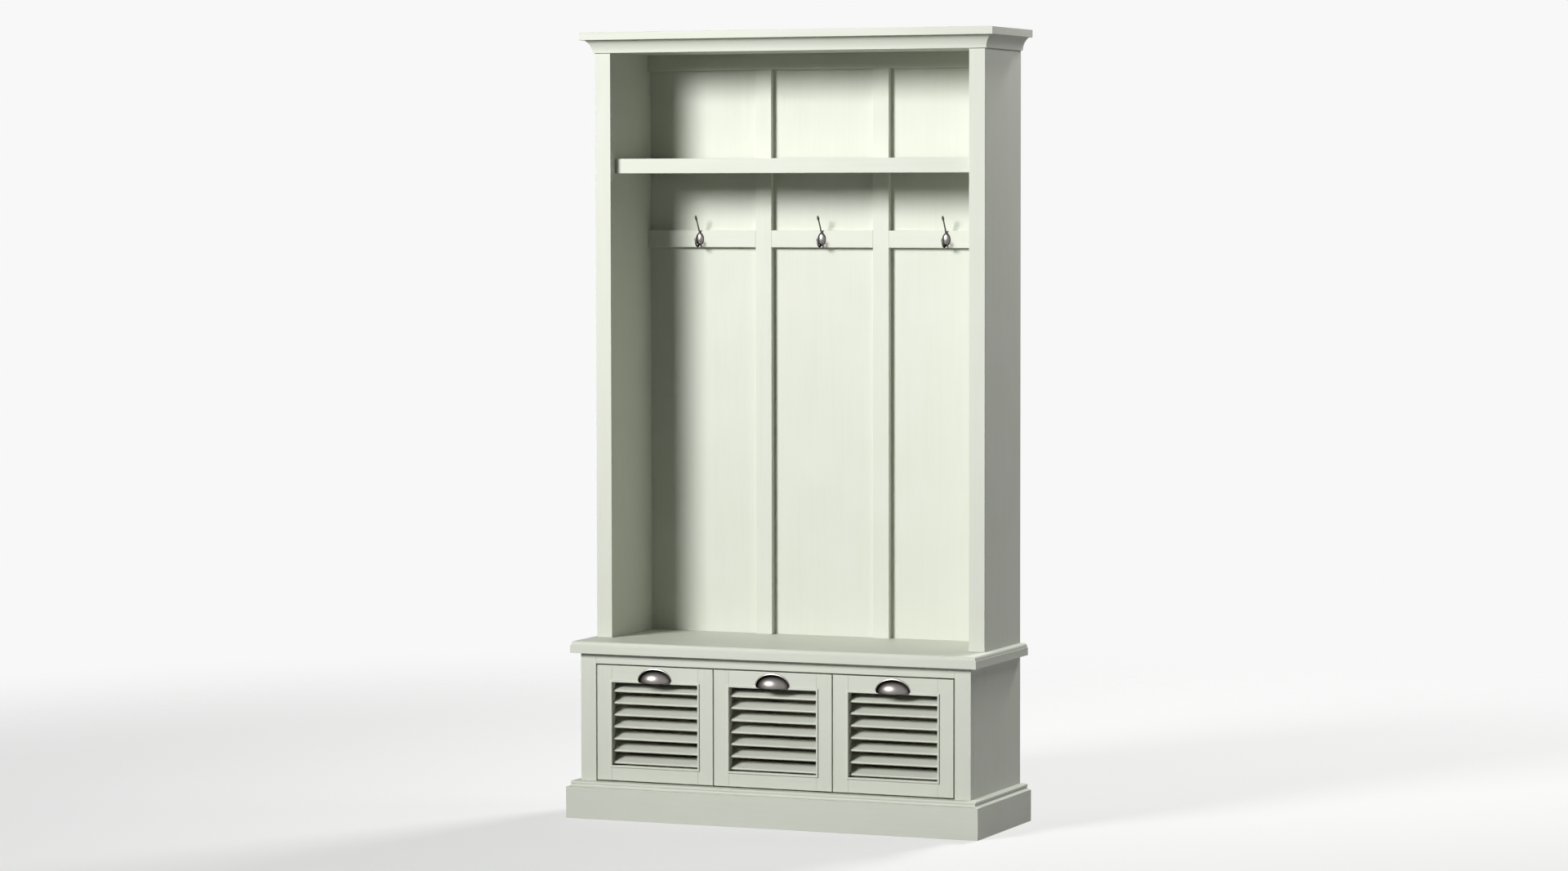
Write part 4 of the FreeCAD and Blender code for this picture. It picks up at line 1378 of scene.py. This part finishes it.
@dataclass(frozen=True)
class Softbox:
    """A square lamp with a cloth front, and a grid on it where its spread in degrees is narrow."""

    name: str
    place: Vector
    aim: Vector
    size: float
    power: float
    spread: float = 180.0

    def build(self) -> None:
        """Hangs the lamp."""
        lamp = bpy.data.lights.new(self.name, "AREA")
        lamp.shape = "SQUARE"
        lamp.size = self.size
        lamp.energy = self.power
        lamp.spread = math.radians(self.spread)
        holder = bpy.data.objects.new(self.name, lamp)
        holder.location = self.place
        holder.rotation_euler = (self.aim - self.place).to_track_quat("-Z", "Y").to_euler()
        holder.visible_camera = False
        bpy.context.scene.collection.objects.link(holder)


LAMPS = (
    Softbox("front_left_softbox", place=Vector((-3.55, -7.2, 4.2)), aim=Vector((0.05, 0.0, 1.5)),
            size=2.6, power=69.0, spread=42.0),
    Softbox("back_softbox", place=Vector((1.7, 6.0, 7.0)), aim=Vector((-0.8, -0.5, 0.0)),
            size=1.8, power=610.0),
    Softbox("right_softbox", place=Vector((2.0, 1.3, 3.1)), aim=Vector((0.3, 0.0, 1.7)),
            size=1.0, power=23.0),
)


@dataclass
class Studio:
    """The plain studio: paper floor, white surround, three soft lamps and the camera."""

    floor_radius: float = 6.0
    floor_drop: float = 0.2 * MM
    floor_sides: int = 96
    surround: str = "#F8F8F8"
    fill: float = 0.02
    camera_place: Vector = Vector((4.47978, -10.82695, 1.61854))
    camera_yaw: float = 22.6457
    camera_pitch: float = -3.05954
    camera_roll: float = -0.08277
    focal_px: float = 5591.2

    def build(self) -> None:
        """Sets the studio up."""
        self.build_floor()
        self.build_world()
        for lamp in LAMPS:
            lamp.build()
        self.build_camera()
        bpy.context.scene.view_settings.view_transform = "Standard"

    def build_floor(self) -> None:
        """Lays the paper floor."""
        bm = bmesh.new()
        bmesh.ops.create_circle(bm, cap_ends=True, segments=self.floor_sides, radius=self.floor_radius)
        mesh = bpy.data.meshes.new("paper_floor")
        bm.to_mesh(mesh)
        bm.free()
        mesh.transform(Matrix.Translation((0, 0, -self.floor_drop)))
        mesh.materials.append(StudioPaper().build())
        floor = bpy.data.objects.new("paper_floor", mesh)
        bpy.context.scene.collection.objects.link(floor)

    def build_world(self) -> None:
        """Makes the surround: white to look at, and a soft even fill as light."""
        world = bpy.data.worlds.new("studio")
        world.use_nodes = True
        tree = world.node_tree
        tree.nodes.clear()
        soft = add(tree, "ShaderNodeBackground", {"Color": (1.0, 1.0, 1.0, 1.0), "Strength": self.fill})
        white = add(tree, "ShaderNodeBackground", {"Color": linear(self.surround), "Strength": 1.0})
        mixed = add(tree, "ShaderNodeMixShader", {
            0: shown_to_eye(tree), 1: soft.outputs["Background"], 2: white.outputs["Background"]})
        add(tree, "ShaderNodeOutputWorld", {"Surface": mixed.outputs["Shader"]})
        bpy.context.scene.world = world

    def build_camera(self) -> None:
        """Sets the camera where the photograph was taken from."""
        data = bpy.data.cameras.new("camera")
        data.sensor_width = SENSOR_WIDTH
        data.lens = self.focal_px * SENSOR_WIDTH / PHOTO_WIDTH_PX
        camera = bpy.data.objects.new("camera", data)
        turn = (Matrix.Rotation(math.radians(self.camera_yaw), 4, "Z")
                @ Matrix.Rotation(math.radians(90 + self.camera_pitch), 4, "X")
                @ Matrix.Rotation(math.radians(self.camera_roll), 4, "Z"))
        camera.matrix_world = Matrix.Translation(self.camera_place) @ turn
        bpy.context.scene.collection.objects.link(camera)
        bpy.context.scene.camera = camera


def main() -> None:
    """Builds the studio and every sub-assembly."""
    logging.basicConfig(level=logging.INFO, format="%(name)s: %(message)s")
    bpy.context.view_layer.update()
    Studio().build()
    materials = {
        Slot.PAINT: SatinPaint().build(),
        Slot.NICKEL: BlackNickel().build(),
        Slot.WOOD: LacqueredBirch().build(),
        Slot.STEEL: ZincPlate().build(),
    }
    screws = Screws(materials)
    slats = slat_tree()
    assemblies = [kind(materials) for kind in (Plinth, Bench, Slides, Hutch, Crown)]
    assemblies += [CoatHooks(materials, screws)]
    assemblies += [Drawer(materials, screws, slats, hand) for hand in Hand]
    for assembly in assemblies:
        assembly.build()


if __name__ == "__main__":
    main()
